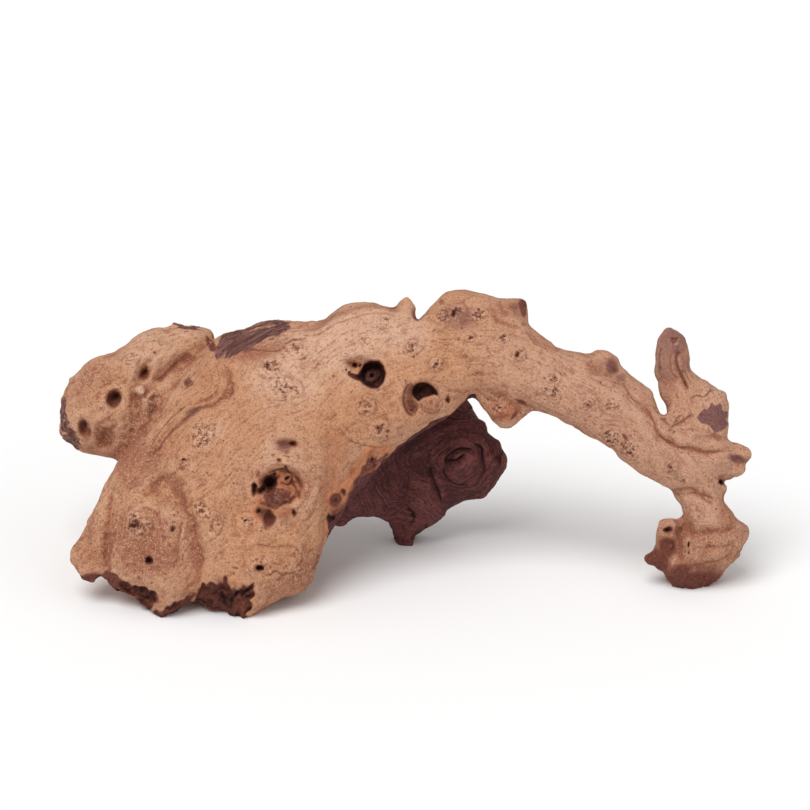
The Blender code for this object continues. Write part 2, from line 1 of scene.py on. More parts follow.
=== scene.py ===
# %% The frame
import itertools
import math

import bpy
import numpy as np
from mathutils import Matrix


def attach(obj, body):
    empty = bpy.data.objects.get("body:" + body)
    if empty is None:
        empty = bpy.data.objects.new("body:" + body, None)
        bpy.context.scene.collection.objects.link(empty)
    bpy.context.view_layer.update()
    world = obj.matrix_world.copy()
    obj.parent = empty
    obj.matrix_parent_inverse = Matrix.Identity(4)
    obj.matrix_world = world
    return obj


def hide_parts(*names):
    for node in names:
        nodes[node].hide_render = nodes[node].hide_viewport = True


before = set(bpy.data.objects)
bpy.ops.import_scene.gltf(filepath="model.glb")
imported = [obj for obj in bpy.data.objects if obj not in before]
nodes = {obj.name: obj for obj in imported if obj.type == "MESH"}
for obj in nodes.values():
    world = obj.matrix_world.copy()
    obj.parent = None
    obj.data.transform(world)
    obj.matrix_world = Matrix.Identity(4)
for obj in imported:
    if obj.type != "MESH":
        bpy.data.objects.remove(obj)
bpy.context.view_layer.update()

# %% [markdown]
# This is a mopani root: one piece of hard, sand-blasted wood with a broad knotty crown at the left, a burl
# behind it, a dark leg of heartwood under it, and a long limb that arches to the right and ends in an
# upright finger and a hooked foot.
#
# The frame holds six plain solids, one for each piece between the forks. They have the right shape and
# size, but flat facets and no grain. Here a fine skin is grown over them, carved as a sculptor would, and
# stained.
#
# Lengths are in metres. MM turns millimetres into metres.

MM = 0.001
print("solids:", ", ".join(sorted(nodes)))

# %% [markdown]
# The root is looked at from a little above, from far away, so that it is hardly foreshortened. Places on
# its front are given below as they are seen: pixels to the right and down in a square picture of 810
# pixels, in which one pixel is 0.6 mm of wood. The camera takes just that picture.

# %% The eye
PICTURE = 810
PIXEL = 0.6 * MM
EYE_ELEVATION = math.radians(22)
EYE_DISTANCE = 2.4
AIM = np.array([0.68, -20.27, 117.38]) * MM
SENSOR = 36.0

RIGHTWARD = np.array([1.0, 0.0, 0.0])
UPWARD = np.array([0.0, math.sin(EYE_ELEVATION), math.cos(EYE_ELEVATION)])
INWARD = np.array([0.0, math.cos(EYE_ELEVATION), -math.sin(EYE_ELEVATION)])
EYE = AIM - INWARD * EYE_DISTANCE

bpy.ops.object.camera_add(location=EYE, rotation=(math.pi / 2 - EYE_ELEVATION, 0, 0))
camera = bpy.context.object
camera.name = "eye"
camera.data.sensor_width = SENSOR
camera.data.lens = SENSOR * EYE_DISTANCE / (PICTURE * PIXEL)
bpy.context.scene.camera = camera
print(f"camera {camera.data.lens:.1f} mm, {EYE_DISTANCE} m away")

# %% [markdown]
# The studio is a wide pale floor, one very broad lamp high at the front left and an even white sky. A sun
# with a wide angle is used for the lamp, because its light doesn't weaken with distance, so the floor stays
# even.

# %% Floor and light
FLOOR_SIZE = 30
SKY_STRENGTH = 0.48
LAMPS = {
    "key_lamp": (2.1, 40, (30, 0, -32)),
    "side_lamp": (0.3, 60, (62, 0, 60)),
}

bpy.ops.mesh.primitive_plane_add(size=FLOOR_SIZE, location=(0, 0, 0))
floor = bpy.context.object
floor.name = "floor"

for name, (strength, width, turn) in LAMPS.items():
    bpy.ops.object.light_add(type="SUN", rotation=[math.radians(a) for a in turn])
    lamp = bpy.context.object
    lamp.name = name
    lamp.data.energy = strength
    lamp.data.angle = math.radians(width)

sky = bpy.data.worlds.new("sky")
bpy.context.scene.world = sky
sky.use_nodes = True
sky.node_tree.nodes["Background"].inputs["Color"].default_value = (1, 1, 1, 1)
sky.node_tree.nodes["Background"].inputs["Strength"].default_value = SKY_STRENGTH
bpy.context.scene.view_settings.view_transform = "Standard"
print("lamps:", ", ".join(LAMPS))

# %% [markdown]
# The skin is one closed surface around all six solids. Each solid is copied, its loose triangles are merged
# and it is fattened by a hair, so that neighbours overlap at the forks. A voxel remesh then grows them into
# one.

# %% One skin around the solids
FATTEN = 0.35 * MM
SKIN_VOXEL = 1.5 * MM
MERGE_WITHIN = 0.01 * MM


def only(obj):
    """Makes obj the active object and the only one selected."""
    bpy.ops.object.select_all(action="DESELECT")
    bpy.context.view_layer.objects.active = obj
    obj.select_set(True)
    return obj


def finish_with(obj, kind, **settings):
    """Adds a modifier with these settings and applies it."""
    only(obj)
    modifier = obj.modifiers.new(kind.title(), kind)
    for key, value in settings.items():
        setattr(modifier, key, value)
    bpy.ops.object.modifier_apply(modifier=modifier.name)
    return obj


def bare_copy(node):
    """A copy of a solid with its triangles merged and its surface fattened."""
    copy = bpy.data.objects.new("skin", node.data.copy())
    bpy.context.scene.collection.objects.link(copy)
    only(copy)
    bpy.ops.object.mode_set(mode="EDIT")
    bpy.ops.mesh.select_all(action="SELECT")
    bpy.ops.mesh.remove_doubles(threshold=MERGE_WITHIN)
    bpy.ops.object.mode_set(mode="OBJECT")
    return finish_with(copy, "DISPLACE", strength=FATTEN, mid_level=0)


copies = [bare_copy(nodes[name]) for name in sorted(nodes)]
for copy in copies:
    copy.select_set(True)
skin = copies[-1]
bpy.context.view_layer.objects.active = skin
bpy.ops.object.join()
finish_with(skin, "REMESH", mode="VOXEL", voxel_size=SKIN_VOXEL, use_smooth_shade=True)
skin.data.materials.clear()
print(f"skin: {len(skin.data.polygons)} faces")

# %% [markdown]
# The facets of the solids still show, as flat spots. They are smoothed away here. Plain smoothing would
# shrink the thin ends, so every smoothing step is followed by a slightly stronger step backwards, which
# leaves the broad form alone. The smooth skin is then divided once more, so that a face is about 0.8 mm
# wide.

# %% Smoothing the facets away
SMOOTH_STEPS = 22
SMOOTH_SHARE = 0.55
SWELL_SHARE = -0.565


def rows_of(items, what, width, kind=np.float32):
    """One property of many items, as rows of numbers."""
    flat = np.empty(len(items) * width, kind)
    items.foreach_get(what, flat)
    return flat.reshape(-1, width)


def points_of(obj):
    return rows_of(obj.data.vertices, "co", 3).astype(float)


def normals_of(obj):
    return rows_of(obj.data.vertex_normals, "vector", 3).astype(float)


def edges_of(obj):
    """The two ends of each edge, and how many edges meet at each point."""
    ends = rows_of(obj.data.edges, "vertices", 2, np.int32).T
    return ends, np.bincount(ends.ravel(), minlength=len(obj.data.vertices))


def set_points(obj, points):
    obj.data.vertices.foreach_set("co", points.astype(np.float32).ravel())
    obj.data.update()


def relaxed(points, ends, links):
    """Each point moved to the middle of its neighbours."""
    first, second = ends
    count = len(points)
    sums = [
        np.bincount(first, axis[second], count) + np.bincount(second, axis[first], count) for axis in points.T
    ]
    return np.stack(sums, 1) / links[:, None]


points, (ends, links) = points_of(skin), edges_of(skin)
for share in (SMOOTH_SHARE, SWELL_SHARE) * SMOOTH_STEPS:
    points += share * (relaxed(points, ends, links) - points)
set_points(skin, points)
finish_with(skin, "SUBSURF", levels=1, render_levels=1)
print(f"smooth skin: {len(skin.data.polygons)} faces")

# %% [markdown]
# Brushes need a window, so each stroke is a formula here. For that the skin is read as plain rows of
# numbers: where each point is, which way it faces, and where the eye sees it. The front is what the eye can
# see, and the back is all the rest, which gets strokes of its own, so that the root is whole from every
# side.

# %% The skin as numbers
SCREEN_CELL = 3
HIDDEN_BEHIND = 9 * MM
FACING_FROM, FACING_FULL = -0.05, 0.3
IN_SIGHT = 0.3


def ramp(low, high, value):
    """0 below low, 1 above high, and a smooth rise between them."""
    share = np.clip((value - low) / (high - low), 0, 1)
    return share * share * (3 - 2 * share)


def fall(low, high, value):
    """1 below low, 0 above high, and a smooth fall between them."""
    return 1 - ramp(low, high, value)


def unit(rows):
    """Rows scaled to a length of 1."""
    return rows / np.linalg.norm(rows, axis=1)[:, None]


def seen(points):
    """Where the eye sees points: pixels to the right and down, and the depth behind the aim in metres."""
    away = points - AIM
    depth = away @ INWARD
    spread = (1 + depth / EYE_DISTANCE) * PIXEL
    right = PICTURE / 2 + (away @ RIGHTWARD) / spread
    down = PICTURE / 2 - (away @ UPWARD) / spread
    return np.stack([right, down], 1), depth


def from_picture(right, down, depth):
    """The point that is seen at these pixels, at that depth behind the aim."""
    spread = (1 + depth / EYE_DISTANCE) * PIXEL
    across, up = (right - PICTURE / 2) * spread, (PICTURE / 2 - down) * spread
    return AIM + across * RIGHTWARD + up * UPWARD + depth * INWARD


def not_hidden(picture, depth):
    """Which points have nothing in front of them, by the nearest depth in each cell of the picture."""
    cells = np.clip((picture / SCREEN_CELL).astype(int), 0, PICTURE // SCREEN_CELL - 1)
    nearest = np.full((PICTURE // SCREEN_CELL,) * 2, np.inf)
    np.minimum.at(nearest, (cells[:, 0], cells[:, 1]), depth)
    return depth < nearest[cells[:, 0], cells[:, 1]] + HIDDEN_BEHIND


def facing_eye(points, normals):
    """1 where the skin faces the eye, 0 where it is side-on and -1 where it faces away."""
    return (normals * unit(EYE - points)).sum(1)


def read_skin():
    """Points, normals, picture places, depths, and how much each point is of the front and the back."""
    points, normals = points_of(skin), normals_of(skin)
    picture, depth = seen(points)
    facing = facing_eye(points, normals)
    front = ramp(FACING_FROM, FACING_FULL, facing) * not_hidden(picture, depth)
    back = ramp(FACING_FROM, FACING_FULL, -facing)
    return points, normals, picture, depth, front, back


points, normals, picture, depth, front, back = read_skin()
print(f"{len(points)} points, {np.mean(front > 0.5):.0%} of them in sight")

# %% [markdown]
# The solids have a simple outline, without the small corners and notches of the root. A grab takes hold of
# the skin around a place and pulls it, fully in the middle and not at all at its radius. Each row is a
# place in the picture, a radius in millimetres, and how far it pulls to the right and up, in millimetres as
# the eye sees them.
#
# A notch is a grab that takes the whole thickness of the wood with it, so that the outline itself gives way
# there.

# %% Pulling the outline
GRABS = (
    (166, 330, 4, 0, -1.3), (175, 326, 3.2, -0.4, 1.7), (199, 329, 8, 0, -0.9), (215, 339, 4, -1.6, -0.4),
    (111, 353, 8, 0.3, -1.0), (81, 367, 6, 0.7, -0.7), (70, 379, 3.5, -0.9, 0.8), (61, 414, 9, 1.0, 0),
    (116, 462, 3, -0.8, -0.4), (112, 472, 4, 0.8, 0), (76, 572, 5, 1.0, 0.8), (108, 577, 3.5, 0.2, 1.6),
    (382, 303, 12, 0, -0.7), (395, 306, 5, 0, -0.9), (407, 301, 3, 0, 1.4), (417, 311, 3.5, -0.3, -1.9),
    (433, 304, 4, 1.6, -0.6), (425, 309, 3, 0, 0.7), (470, 289, 16, 0, -0.8), (505, 297, 10, 0, -0.7),
    (525, 305, 6, -0.9, 0), (525, 324, 4, -1.6, -0.6), (558, 347, 6, -0.3, -1.9), (575, 350, 5, 0, 0.5),
    (617, 359, 4, 0.8, 0.8), (624, 367, 4, -0.9, -0.9), (472, 396, 4, 0, 1.9), (469, 406, 4, 1.6, 0),
    (484, 427, 7, 1.6, 1.4), (498, 443, 6, 1.0, 0.8), (391, 530, 6, 0.8, 0), (417, 541, 4, -1.2, 1.0),
    (343, 521, 8, 0, -2.4), (370, 516, 6, 0, -0.6), (444, 514, 4, 0.8, -0.8), (487, 415, 5, 1.4, 0.6),
    (507, 428, 5, 0, 0.6), (576, 430, 7, 0.3, 0.9), (614, 453, 6, 0.4, 1.1), (668, 327, 5, 0, 0.9),
    (684, 336, 5, 0.9, 0.4), (658, 340, 5, -0.6, 0.2), (660, 388, 5, -1.4, 0), (655, 360, 6, 0.5, 0),
    (692, 365, 5, -0.7, 0), (658, 404, 4.5, -1.8, -1.8), (724, 393, 5, 1.1, 0.8), (729, 416, 5, -1.3, 0),
    (743, 446, 5, 0, -0.8), (731, 480, 4, -0.6, 1.6), (725, 498, 4, -1.9, 0), (740, 519, 7, -0.9, -0.3),
    (744, 544, 4, -1.2, 0), (739, 555, 4, 1.2, -0.4), (674, 498, 6, -1.4, 0), (678, 520, 3.5, -0.4, -1.6),
    (661, 522, 5, -0.9, 1.0), (649, 553, 5, 0.6, -1.0), (150, 610, 3, 0, 1.9), (141, 606, 3, -0.8, -1.0),
    (116, 588, 4, -0.4, -0.9), (192, 597, 4, 0, 1.6), (107, 484, 5, -1.3, 0.3), (98, 500, 4, 0.9, 0),
    (88, 519, 5, -1.0, 0), (80, 540, 4, 0.8, 0), (421, 537, 7, -2.6, 0), (396, 540, 4, 0.7, 0),
    (340, 530, 5, 0.9, 0.4), (317, 570, 6, -0.9, 0.6), (300, 588, 5, 0.6, -0.8), (270, 600, 5, 0, 0.9),
)
NOTCHES = (
    (661, 397, 8, 0.3, -4.2), (662, 403, 8, 0.5, -3.8), (664, 408, 6, 0.6, -2.4), (420, 311, 6, -0.6, -2.6),
    (418, 315, 4, -0.3, -2.0), (315.5, 319, 2.6, 0, -1.1), (101, 584, 6, 0, 3.6), (426, 535, 10, -3.4, 0),
    (724.5, 480, 4.2, -3.6, 0), (728, 489, 4, 1.2, 0), (419, 542, 6, -1.6, 2.2),
)
NOTCH_THROUGH = 28 * MM


def point_at(middle, side):
    """The number of the point that is seen nearest to a place in the picture, on one side."""
    gap = ((picture - middle) ** 2).sum(1) + PICTURE**2 * (side < IN_SIGHT)
    return gap.argmin()


def surface_under(middle, side):
    """The place on the skin that is seen at a place in the picture, on one side."""
    return points[point_at(middle, side)]


def pull(gap, radius, right, up):
    """Moves points, less and less until their gap reaches the radius."""
    weight = fall(0.1, 1, gap / (radius * MM))
    points[:] += weight[:, None] * (right * RIGHTWARD + up * UPWARD) * MM


def grab(middle, radius, right, up):
    pull(np.linalg.norm(points - surface_under(middle, front), axis=1), radius, right, up)


def notch(middle, radius, right, up):
    """A grab that takes the whole thickness of the wood with it."""
    here, _ = seen(points)
    _, level = seen(surface_under(middle, front)[None])
    gap = np.hypot(*(here - middle).T) * PIXEL
    gap[np.abs(depth - level) > NOTCH_THROUGH] = np.inf
    pull(gap, radius, right, up)


for right, down, *pulled in GRABS:
    grab((right, down), *pulled)
for right, down, *pulled in NOTCHES:
    notch((right, down), *pulled)
set_points(skin, points)
points, normals, picture, depth, front, back = read_skin()
print(f"{len(GRABS)} grabs, {len(NOTCHES)} notches")

# %% [markdown]
# Nothing on a root is even, so nearly every stroke is shaken by noise: smooth random lumps of a given size.
# A grid of steady random numbers is laid through space, and each point takes the mix of the eight around
# it.

# %% Noise
DICE = (0x8DA6B343, 0xD8163841, 0xCB1AB31F, 0x9E3779B1)
SHUFFLES = ((15, 0x85EBCA6B), (13, 0xC2B2AE35))
FINER, WEAKER = 2, 1.8


def dice(cells, seed):
    """A steady random number from 0 to 1 for each cell of a grid."""
    x, y, z = (cells[:, axis].astype(np.uint32) * np.uint32(DICE[axis]) for axis in range(3))
    mixed = x ^ y ^ z ^ np.uint32(seed * DICE[3] & 0xFFFFFFFF)
    for shift, factor in SHUFFLES:
        mixed = (mixed ^ (mixed >> np.uint32(shift))) * np.uint32(factor)
    return (mixed ^ (mixed >> np.uint32(16))) / 2**32


def lumps(places, size, seed=0):
    """Smooth noise from -1 to 1 whose lumps are about size wide; size may differ along the three axes."""
    scaled = places / size
    cells = np.floor(scaled).astype(np.int64)
    share = scaled - cells
    share = share**3 * (share * (share * 6 - 15) + 10)
    total = np.zeros(len(places))
    for corner in itertools.product((0, 1), repeat=3):
        weight = np.where(corner, share, 1 - share).prod(1)
        total += weight * dice(cells + corner, seed)
    return 2 * total - 1


def rough(places, size, seed=0, layers=3):
    """Layers of ever finer and weaker lumps."""
    parts = [lumps(places, size / FINER**n, seed + n) / WEAKER**n for n in range(layers)]
    return sum(parts) / sum(1 / WEAKER**n for n in range(layers))


print(f"noise from {lumps(points, 12 * MM).min():.2f} to {lumps(points, 12 * MM).max():.2f}")

# %% [markdown]
# The grain comes before the carving, because knots and furrows follow it. Wood fibres run along a limb and
# part around each knot like water around a stone. So every point gets grain coordinates: how far along its
# limb it is, and where it lies across it. A pattern that is long in the first and fine in the others looks
# like fibres. Each limb has a spine, given as places in the picture and depths behind the aim in
# millimetres.

# %% Spines
SPINES = {
    "trunk": (
        (112, 566, 2), (160, 520, 0), (215, 470, 0), (275, 425, 5), (335, 385, 12), (395, 355, 20),
        (450, 342, 24), (520, 345, 22), (580, 378, 18), (630, 415, 18), (675, 455, 22), (700, 490, 26),
        (706, 525, 30), (694, 560, 38), (680, 590, 46),
    ),
    "burl": ((225, 330, 54), (180, 355, 50), (140, 385, 47), (100, 405, 48), (50, 415, 52)),
    "leg": ((330, 430, 30), (370, 450, 50), (410, 460, 66), (450, 463, 74), (510, 460, 78)),
    "finger": (
        (700, 470, 22), (704, 435, 23), (697, 405, 24), (680, 375, 25), (672, 345, 26), (670, 310, 28),
    ),
}
SPINE_STEP = 3 * MM
CHUNK = 40000


def through(rows, count):
    """count points, evenly spaced, on the smooth curve that passes through the rows."""
    rows = np.asarray(rows, float)
    padded = np.vstack([2 * rows[0] - rows[1], rows, 2 * rows[-1] - rows[-2]])
    place = np.linspace(0, len(rows) - 1, count)
    start = np.minimum(place.astype(int), len(rows) - 2)
    t = (place - start)[:, None]
    a, b, c, d = (padded[start + k] for k in range(4))
    return 0.5 * (2 * b + (c - a) * t + (2 * a - 5 * b + 4 * c - d) * t**2 + (3 * b - a - 3 * c + d) * t**3)


def spine_of(rows):
    """Points along a spine in metres, their directions, and the length up to each."""
    rows = np.array([from_picture(right, down, deep * MM) for right, down, deep in rows])
    length = np.linalg.norm(np.diff(rows, axis=0), axis=1).sum()
    line = through(rows, int(length / SPINE_STEP))
    steps = np.linalg.norm(np.diff(line, axis=0), axis=1)
    return line, unit(np.gradient(line, axis=0)), np.concatenate([[0], np.cumsum(steps)])


def nearest_on(line, places):
    """For each place the nearest of a line's points, and the way from it to the place."""
    nearest = np.empty(len(places), int)
    for start in range(0, len(places), CHUNK):
        part = places[start : start + CHUNK]
        gaps = (part**2).sum(1)[:, None] - 2 * part @ line.T + (line**2).sum(1)
        nearest[start : start + CHUNK] = gaps.argmin(1)
    return nearest, places - line[nearest]


def straightened(places, spine):
    """Along the spine, across it in the picture, and across it in depth."""
    line, ahead, length = spine
    nearest, away = nearest_on(line, places)
    forward = ahead[nearest]
    along = (away * forward).sum(1)
    across = (away * unit(np.cross(INWARD, forward))).sum(1)
    return np.stack([length[nearest] + along, across, away @ INWARD], 1)


spines = {name: spine_of(rows) for name, rows in SPINES.items()}
print("spines:", {name: f"{spine[2][-1] / MM:.0f} mm" for name, spine in spines.items()})

# %% [markdown]
# The skin is parted at the same five forks as the solids. A fork is an outline in the picture; what lies in
# it comes off in the order given, and what is left over is the crown. The leg grows out from behind the
# crown's edge, so its fork is also a slanting plane.

# %% Forks
FORKS = {
    "left_burl": ((6, 579), (213, 342.7), (214, 282.7), (6, 282.7)),
    "upright_finger": (
        (663.7, 413.3), (806, 472.7), (806, 249.3), (639.3, 249.3), (651, 374.3), (658.5, 397.7),
        (662.7, 409.3),
    ),
    "hooked_foot": ((606, 649.3), (806, 649.3), (806, 470.2), (722, 487), (672, 497), (606, 516)),
    "arching_limb": (
        (470, 393), (489.3, 421), (531, 457.7), (572.7, 582.7), (806, 582.7), (806, 249.3), (406, 249.3),
        (418, 312),
    ),
    "heartwood_leg": ((334.3, 582.7), (522.7, 582.7), (522.7, 379.3), (334.3, 379.3)),
}
LEG_FORK_CORNER = (336, 522.7)
LEG_FORK_DEPTH = 34 * MM
LEG_FORK_RISE, LEG_FORK_SLANT = 0.9, 0.95


def in_outline(places, outline):
    """Which places lie inside an outline."""
    right, down = places.T
    inside = np.zeros(len(places), bool)
    corners = np.asarray(outline, float)
    for (x0, y0), (x1, y1) in zip(corners, np.roll(corners, -1, axis=0)):
        if y0 != y1:
            crossing = ((y0 > down) != (y1 > down)) & (right < (x1 - x0) * (down - y0) / (y1 - y0) + x0)
            inside ^= crossing
    return inside


def behind_crown(places, deep):
    """How far behind the leg's fork plane each place is, in metres."""
    across, up = (places[:, 0] - LEG_FORK_CORNER[0]) * PIXEL, (LEG_FORK_CORNER[1] - places[:, 1]) * PIXEL
    return deep - LEG_FORK_DEPTH - LEG_FORK_RISE * (up - LEG_FORK_SLANT * across)


def limb_of(places, deep):
    """The name of the solid that each place belongs to."""
    names = np.full(len(places), "root_crown", dtype="U16")
    for name, outline in FORKS.items():
        taken = (names == "root_crown") & in_outline(places, outline)
        if name == "heartwood_leg":
            taken &= behind_crown(places, deep) > 0
        names[taken] = name
    return names


limb = limb_of(picture, depth)
print({name: int((limb == name).sum()) for name in sorted(nodes)})

# %% [markdown]
# Knots are the hard roots of old shoots. On this root most are burls: round bosses with rings and dark pits
# in them. Each has a middle in the picture, a radius in millimetres and a share of how strongly it shows.
# The same list parts the grain, raises the bosses and later darkens them. The back has knots of its own.

# %% Knots
FRONT_KNOTS = {
    "eye": ((373, 375), 8.5, 0.2), "brow": ((427, 396), 9, 0.2), "amber": ((281, 488), 15, 0.2),
    "twin_upper": ((271, 368), 7, 0.9), "twin_lower": ((281, 388), 8.5, 0.9),
    "top_left": ((297, 350), 7, 0.7), "rough_patch": ((202, 436), 9.5, 0.9),
    "left_eye": ((190, 383.5), 4.5, 0.8), "beside_eye": ((366, 405), 6.5, 0.8),
    "under_brow": ((380, 428), 5.5, 0.9), "pin_right": ((411.6, 346), 5, 1),
    "pin_brow": ((437.5, 364), 4, 1), "pin_top": ((367, 341), 3.5, 0.5),
    "ridge_pin": ((386, 319), 2.5, 0.8), "lump": ((135, 524), 9, 0.9), "lump_side": ((172, 516), 7, 0.5),
    "low_mid": ((203, 511), 6, 0.9), "low_mid_tail": ((212, 528), 4, 0.6), "pit_left": ((184, 464), 5, 0.7),
    "low_right": ((246, 522), 5, 0.8), "low_hole": ((262, 566), 9, 0.5),
    "rim_orange": ((373, 460), 5.5, 0.7), "burl_top": ((131, 359), 5, 0.7),
    "burl_face": ((95, 372), 6, 0.4), "burl_nub": ((152, 398), 5, 0.7), "burl_low": ((133, 432), 4, 0.6),
    "hump_left": ((443, 316), 6.5, 0.9), "hump_mid": ((456, 313), 5, 0.9), "hump_right": ((478, 316), 6, 1),
    "hump_low": ((471, 338), 3.5, 1), "hump_end": ((504, 336), 3.5, 1), "slit": ((517, 355), 4, 0.8),
    "under": ((497, 409), 5.5, 0.8), "arch_first": ((554, 378), 3.5, 1),
    "arch_second": ((553, 391), 4.5, 1), "arch_third": ((589, 405), 4, 0.8),
    "arch_fourth": ((611, 404), 5, 0.6), "arch_fifth": ((610, 437), 6, 1), "arch_sixth": ((628, 449), 6, 1),
    "arch_seventh": ((671, 468), 4, 0.7), "arch_eighth": ((684, 480), 4, 0.7),
    "finger_tip": ((674, 340), 4, 0.7), "neck": ((695, 512), 4, 0.4), "foot_side": ((668, 530), 5, 0.3),
    "leg_big": ((459, 462), 11, 0.6), "leg_end": ((494, 454), 7, 0.6), "leg_small": ((408, 516), 5.5, 0.7),
}
BACK_KNOTS = {
    "back_boss": ((250, 390), 11, 1), "back_low": ((205, 500), 9, 1), "back_left": ((160, 430), 6, 0.8),
    "back_right": ((320, 360), 7, 0.9), "back_mid": ((330, 440), 8, 0.8), "back_top": ((268, 335), 5, 0.8),
    "back_foot": ((230, 560), 6, 0.9), "burl_back": ((110, 385), 8, 0.9),
    "burl_back_top": ((150, 350), 5, 0.8), "arch_back": ((470, 335), 7, 1),
    "arch_back_mid": ((545, 375), 5, 0.9), "arch_back_low": ((600, 420), 6, 0.9),
    "arch_back_end": ((665, 455), 6, 0.8), "leg_back": ((440, 450), 9, 0.7),
    "leg_back_low": ((395, 480), 6, 0.6), "foot_back": ((700, 545), 6, 0.8),
    "finger_back": ((676, 360), 4, 0.8), "hump_back": ((500, 315), 5, 0.9),
}


knots = []
for side, table in ((front, FRONT_KNOTS), (back, BACK_KNOTS)):
    for middle, radius, share in table.values():
        knots.append((surface_under(middle, side), radius * MM, share))
print(f"{len(knots)} knots")

# %% [markdown]
# A stone in a stream draws nearby water lines around it. Moving each point towards a knot's middle by the
# square of radius over distance does the same with the grain, and inside the knot the grain closes up.

# %% Grain coordinates
GRAIN_WANDER = 5 * MM
KNOT_REACH = 5
NEVER_ZERO = 1e-12
LIMB_SPINE = {"left_burl": "burl", "heartwood_leg": "leg", "upright_finger": "finger"}


def parted_around(places, around):
    """The places as the grain sees them, drawn in around every knot."""
    drawn = places.copy()
    for middle, radius, _ in around:
        away = places - middle
        squared = (away**2).sum(1)
        close = squared < (KNOT_REACH * radius) ** 2
        share = np.minimum(1, radius**2 / np.maximum(squared[close], NEVER_ZERO))
        fade = fall(0.5, 1, np.sqrt(squared[close]) / (KNOT_REACH * radius))
        drawn[close] -= away[close] * (share * fade)[:, None]
    return drawn


wander = np.stack([lumps(points, 40 * MM, seed) for seed in (11, 12, 13)], 1) * GRAIN_WANDER
drawn = parted_around(points, knots) + wander
grain = straightened(drawn, spines["trunk"])
for name, spine in LIMB_SPINE.items():
    of_limb = limb == name
    grain[of_limb] = straightened(drawn[of_limb], spines[spine])
print("grain coordinates in mm from", (grain.min(0) / MM).round(), "to", (grain.max(0) / MM).round())

# %% [markdown]
# Now the brushes. Each one picks points by where they are seen and says how strongly it touches them: a
# spot is an oval, a route is a line, a patch is an outline. The points may then be pressed into the wood,
# swollen out of it, or stained. A stain is a number from 0 to 1 on each point, and the finish reads it
# later.
#
# A brush only reaches points at about the depth of the wood it starts on, so it doesn't mark what lies
# behind.

# %% Brushes
# The first stain paints near black: dark rotted and broken wood, and painted shade in holes and cracks.
STAINS = ("hollow", "red", "umber", "bark", "heart", "amber", "plum", "pale", "deep", "speck")
SPOT_REACH = 2.5
DEPTH_REACH = 10 * MM
ROUTE_POINTS = 140
SIDES = {"front": (front, 1), "back": (back, -1), "all": (np.ones(len(points)), 0)}

stain = {name: np.zeros(len(points)) for name in STAINS}


def level_under(middle, side):
    """The depth of the wood that is seen at a place."""
    return depth[point_at(middle, SIDES[side][0])]


def spot(middle, radii, turn=0, side="front", shake=0.15):
    """The points around a place, and how far out each is: 1 is on the oval's shaken outline."""
    slant = math.radians(turn)
    away = (picture - middle) * PIXEL
    along = away[:, 0] * math.cos(slant) - away[:, 1] * math.sin(slant)
    beside = away[:, 0] * math.sin(slant) + away[:, 1] * math.cos(slant)
    out = np.hypot(along / (radii[0] * MM), beside / (radii[1] * MM))
    level = depth - level_under(middle, side)
    reached = (out < SPOT_REACH) & (SIDES[side][0] > 0) & (np.abs(level) < DEPTH_REACH + max(radii) * MM)
    close = np.flatnonzero(reached)
    return close, out[close] * (1 + 1.5 * shake * rough(points[close], 1.4 * max(radii) * MM, 31, 2))


def around(line, reach, side):
    """The points of one side that are seen within reach, in metres, of the box around a line."""
    margin = reach / PIXEL
    inside = ((picture > line.min(0) - margin) & (picture < line.max(0) + margin)).all(1)
    return np.flatnonzero(inside & (SIDES[side][0] > 0))


def along_route(route, reach, side="front"):
    """The points near a line: which ones, metres beside it (positive on its left), and 0 to 1 along it."""
    rows = [(right, down, level_under((right, down), side) / PIXEL) for right, down in route]
    line = through(rows, ROUTE_POINTS)
    close = around(line[:, :2], reach * MM, side)
    nearest, away = nearest_on(line[:, :2], picture[close])
    ahead = np.gradient(line[:, :2], axis=0)[nearest]
    turned = np.sign(ahead[:, 1] * away[:, 0] - ahead[:, 0] * away[:, 1])
    beside = turned * np.hypot(*away.T) * PIXEL
    level = depth[close] - line[nearest, 2] * PIXEL
    kept = (np.abs(beside) < reach * MM) & (np.abs(level) < DEPTH_REACH)
    return close[kept], beside[kept], nearest[kept] / ROUTE_POINTS


def patch(outline, soft, side="front", shake=2.0):
    """The points in and around an outline, and a share that rises from 0 to 1 across its shaken edge."""
    corners = np.array([*outline, outline[0]], float)
    place = np.linspace(0, len(outline), 12 * len(outline))
    rim = np.stack([np.interp(place, range(len(corners)), axis) for axis in corners.T], 1)
    close = around(rim, (soft + shake) * MM, side)
    away = np.hypot(*nearest_on(rim, picture[close])[1].T) * PIXEL
    inward = np.where(in_outline(picture[close], outline), away, -away)
    inward += shake * MM * rough(points[close], 7 * MM, 41)
    share = ramp(-soft * MM, soft * MM, inward)
    return close[share > 0], share[share > 0]


def press(close, amount, side="front"):
    """Moves points into the wood by millimetres, straight away from the eye on the front."""
    weight, way = SIDES[side]
    points[close] += (amount * weight[close] * way * MM)[:, None] * INWARD


def swell(close, amount):
    """Moves points out of the wood by millimetres, square to the surface."""
    points[close] += (amount * MM)[:, None] * normals[close]


def dye(name, close, share, side="front"):
    """Stains points. A place keeps the strongest stain that it gets."""
    amount = share * SIDES[side][0][close]
    stain[name][close] = np.maximum(stain[name][close], np.clip(amount, 0, 1))


def bell(value, width):
    """1 in the middle, falling away on both sides."""
    return np.exp(-((value / width) ** 2))


def tapered(place, share):
    """1 along a line, falling to 0 over a share of it at both ends."""
    return ramp(0, share, place) * fall(1 - share, 1, place)


def blot(name, middle, radii, turn, strength, soft, end=1.5, shake=0.35, side="front"):
    """Stains an oval, in full as far out as soft and no farther than end."""
    close, out = spot(middle, radii, turn, side, shake)
    dye(name, close, strength * fall(soft, end, out), side)


print("brushes: spot, along_route, patch; press, swell, dye, blot")

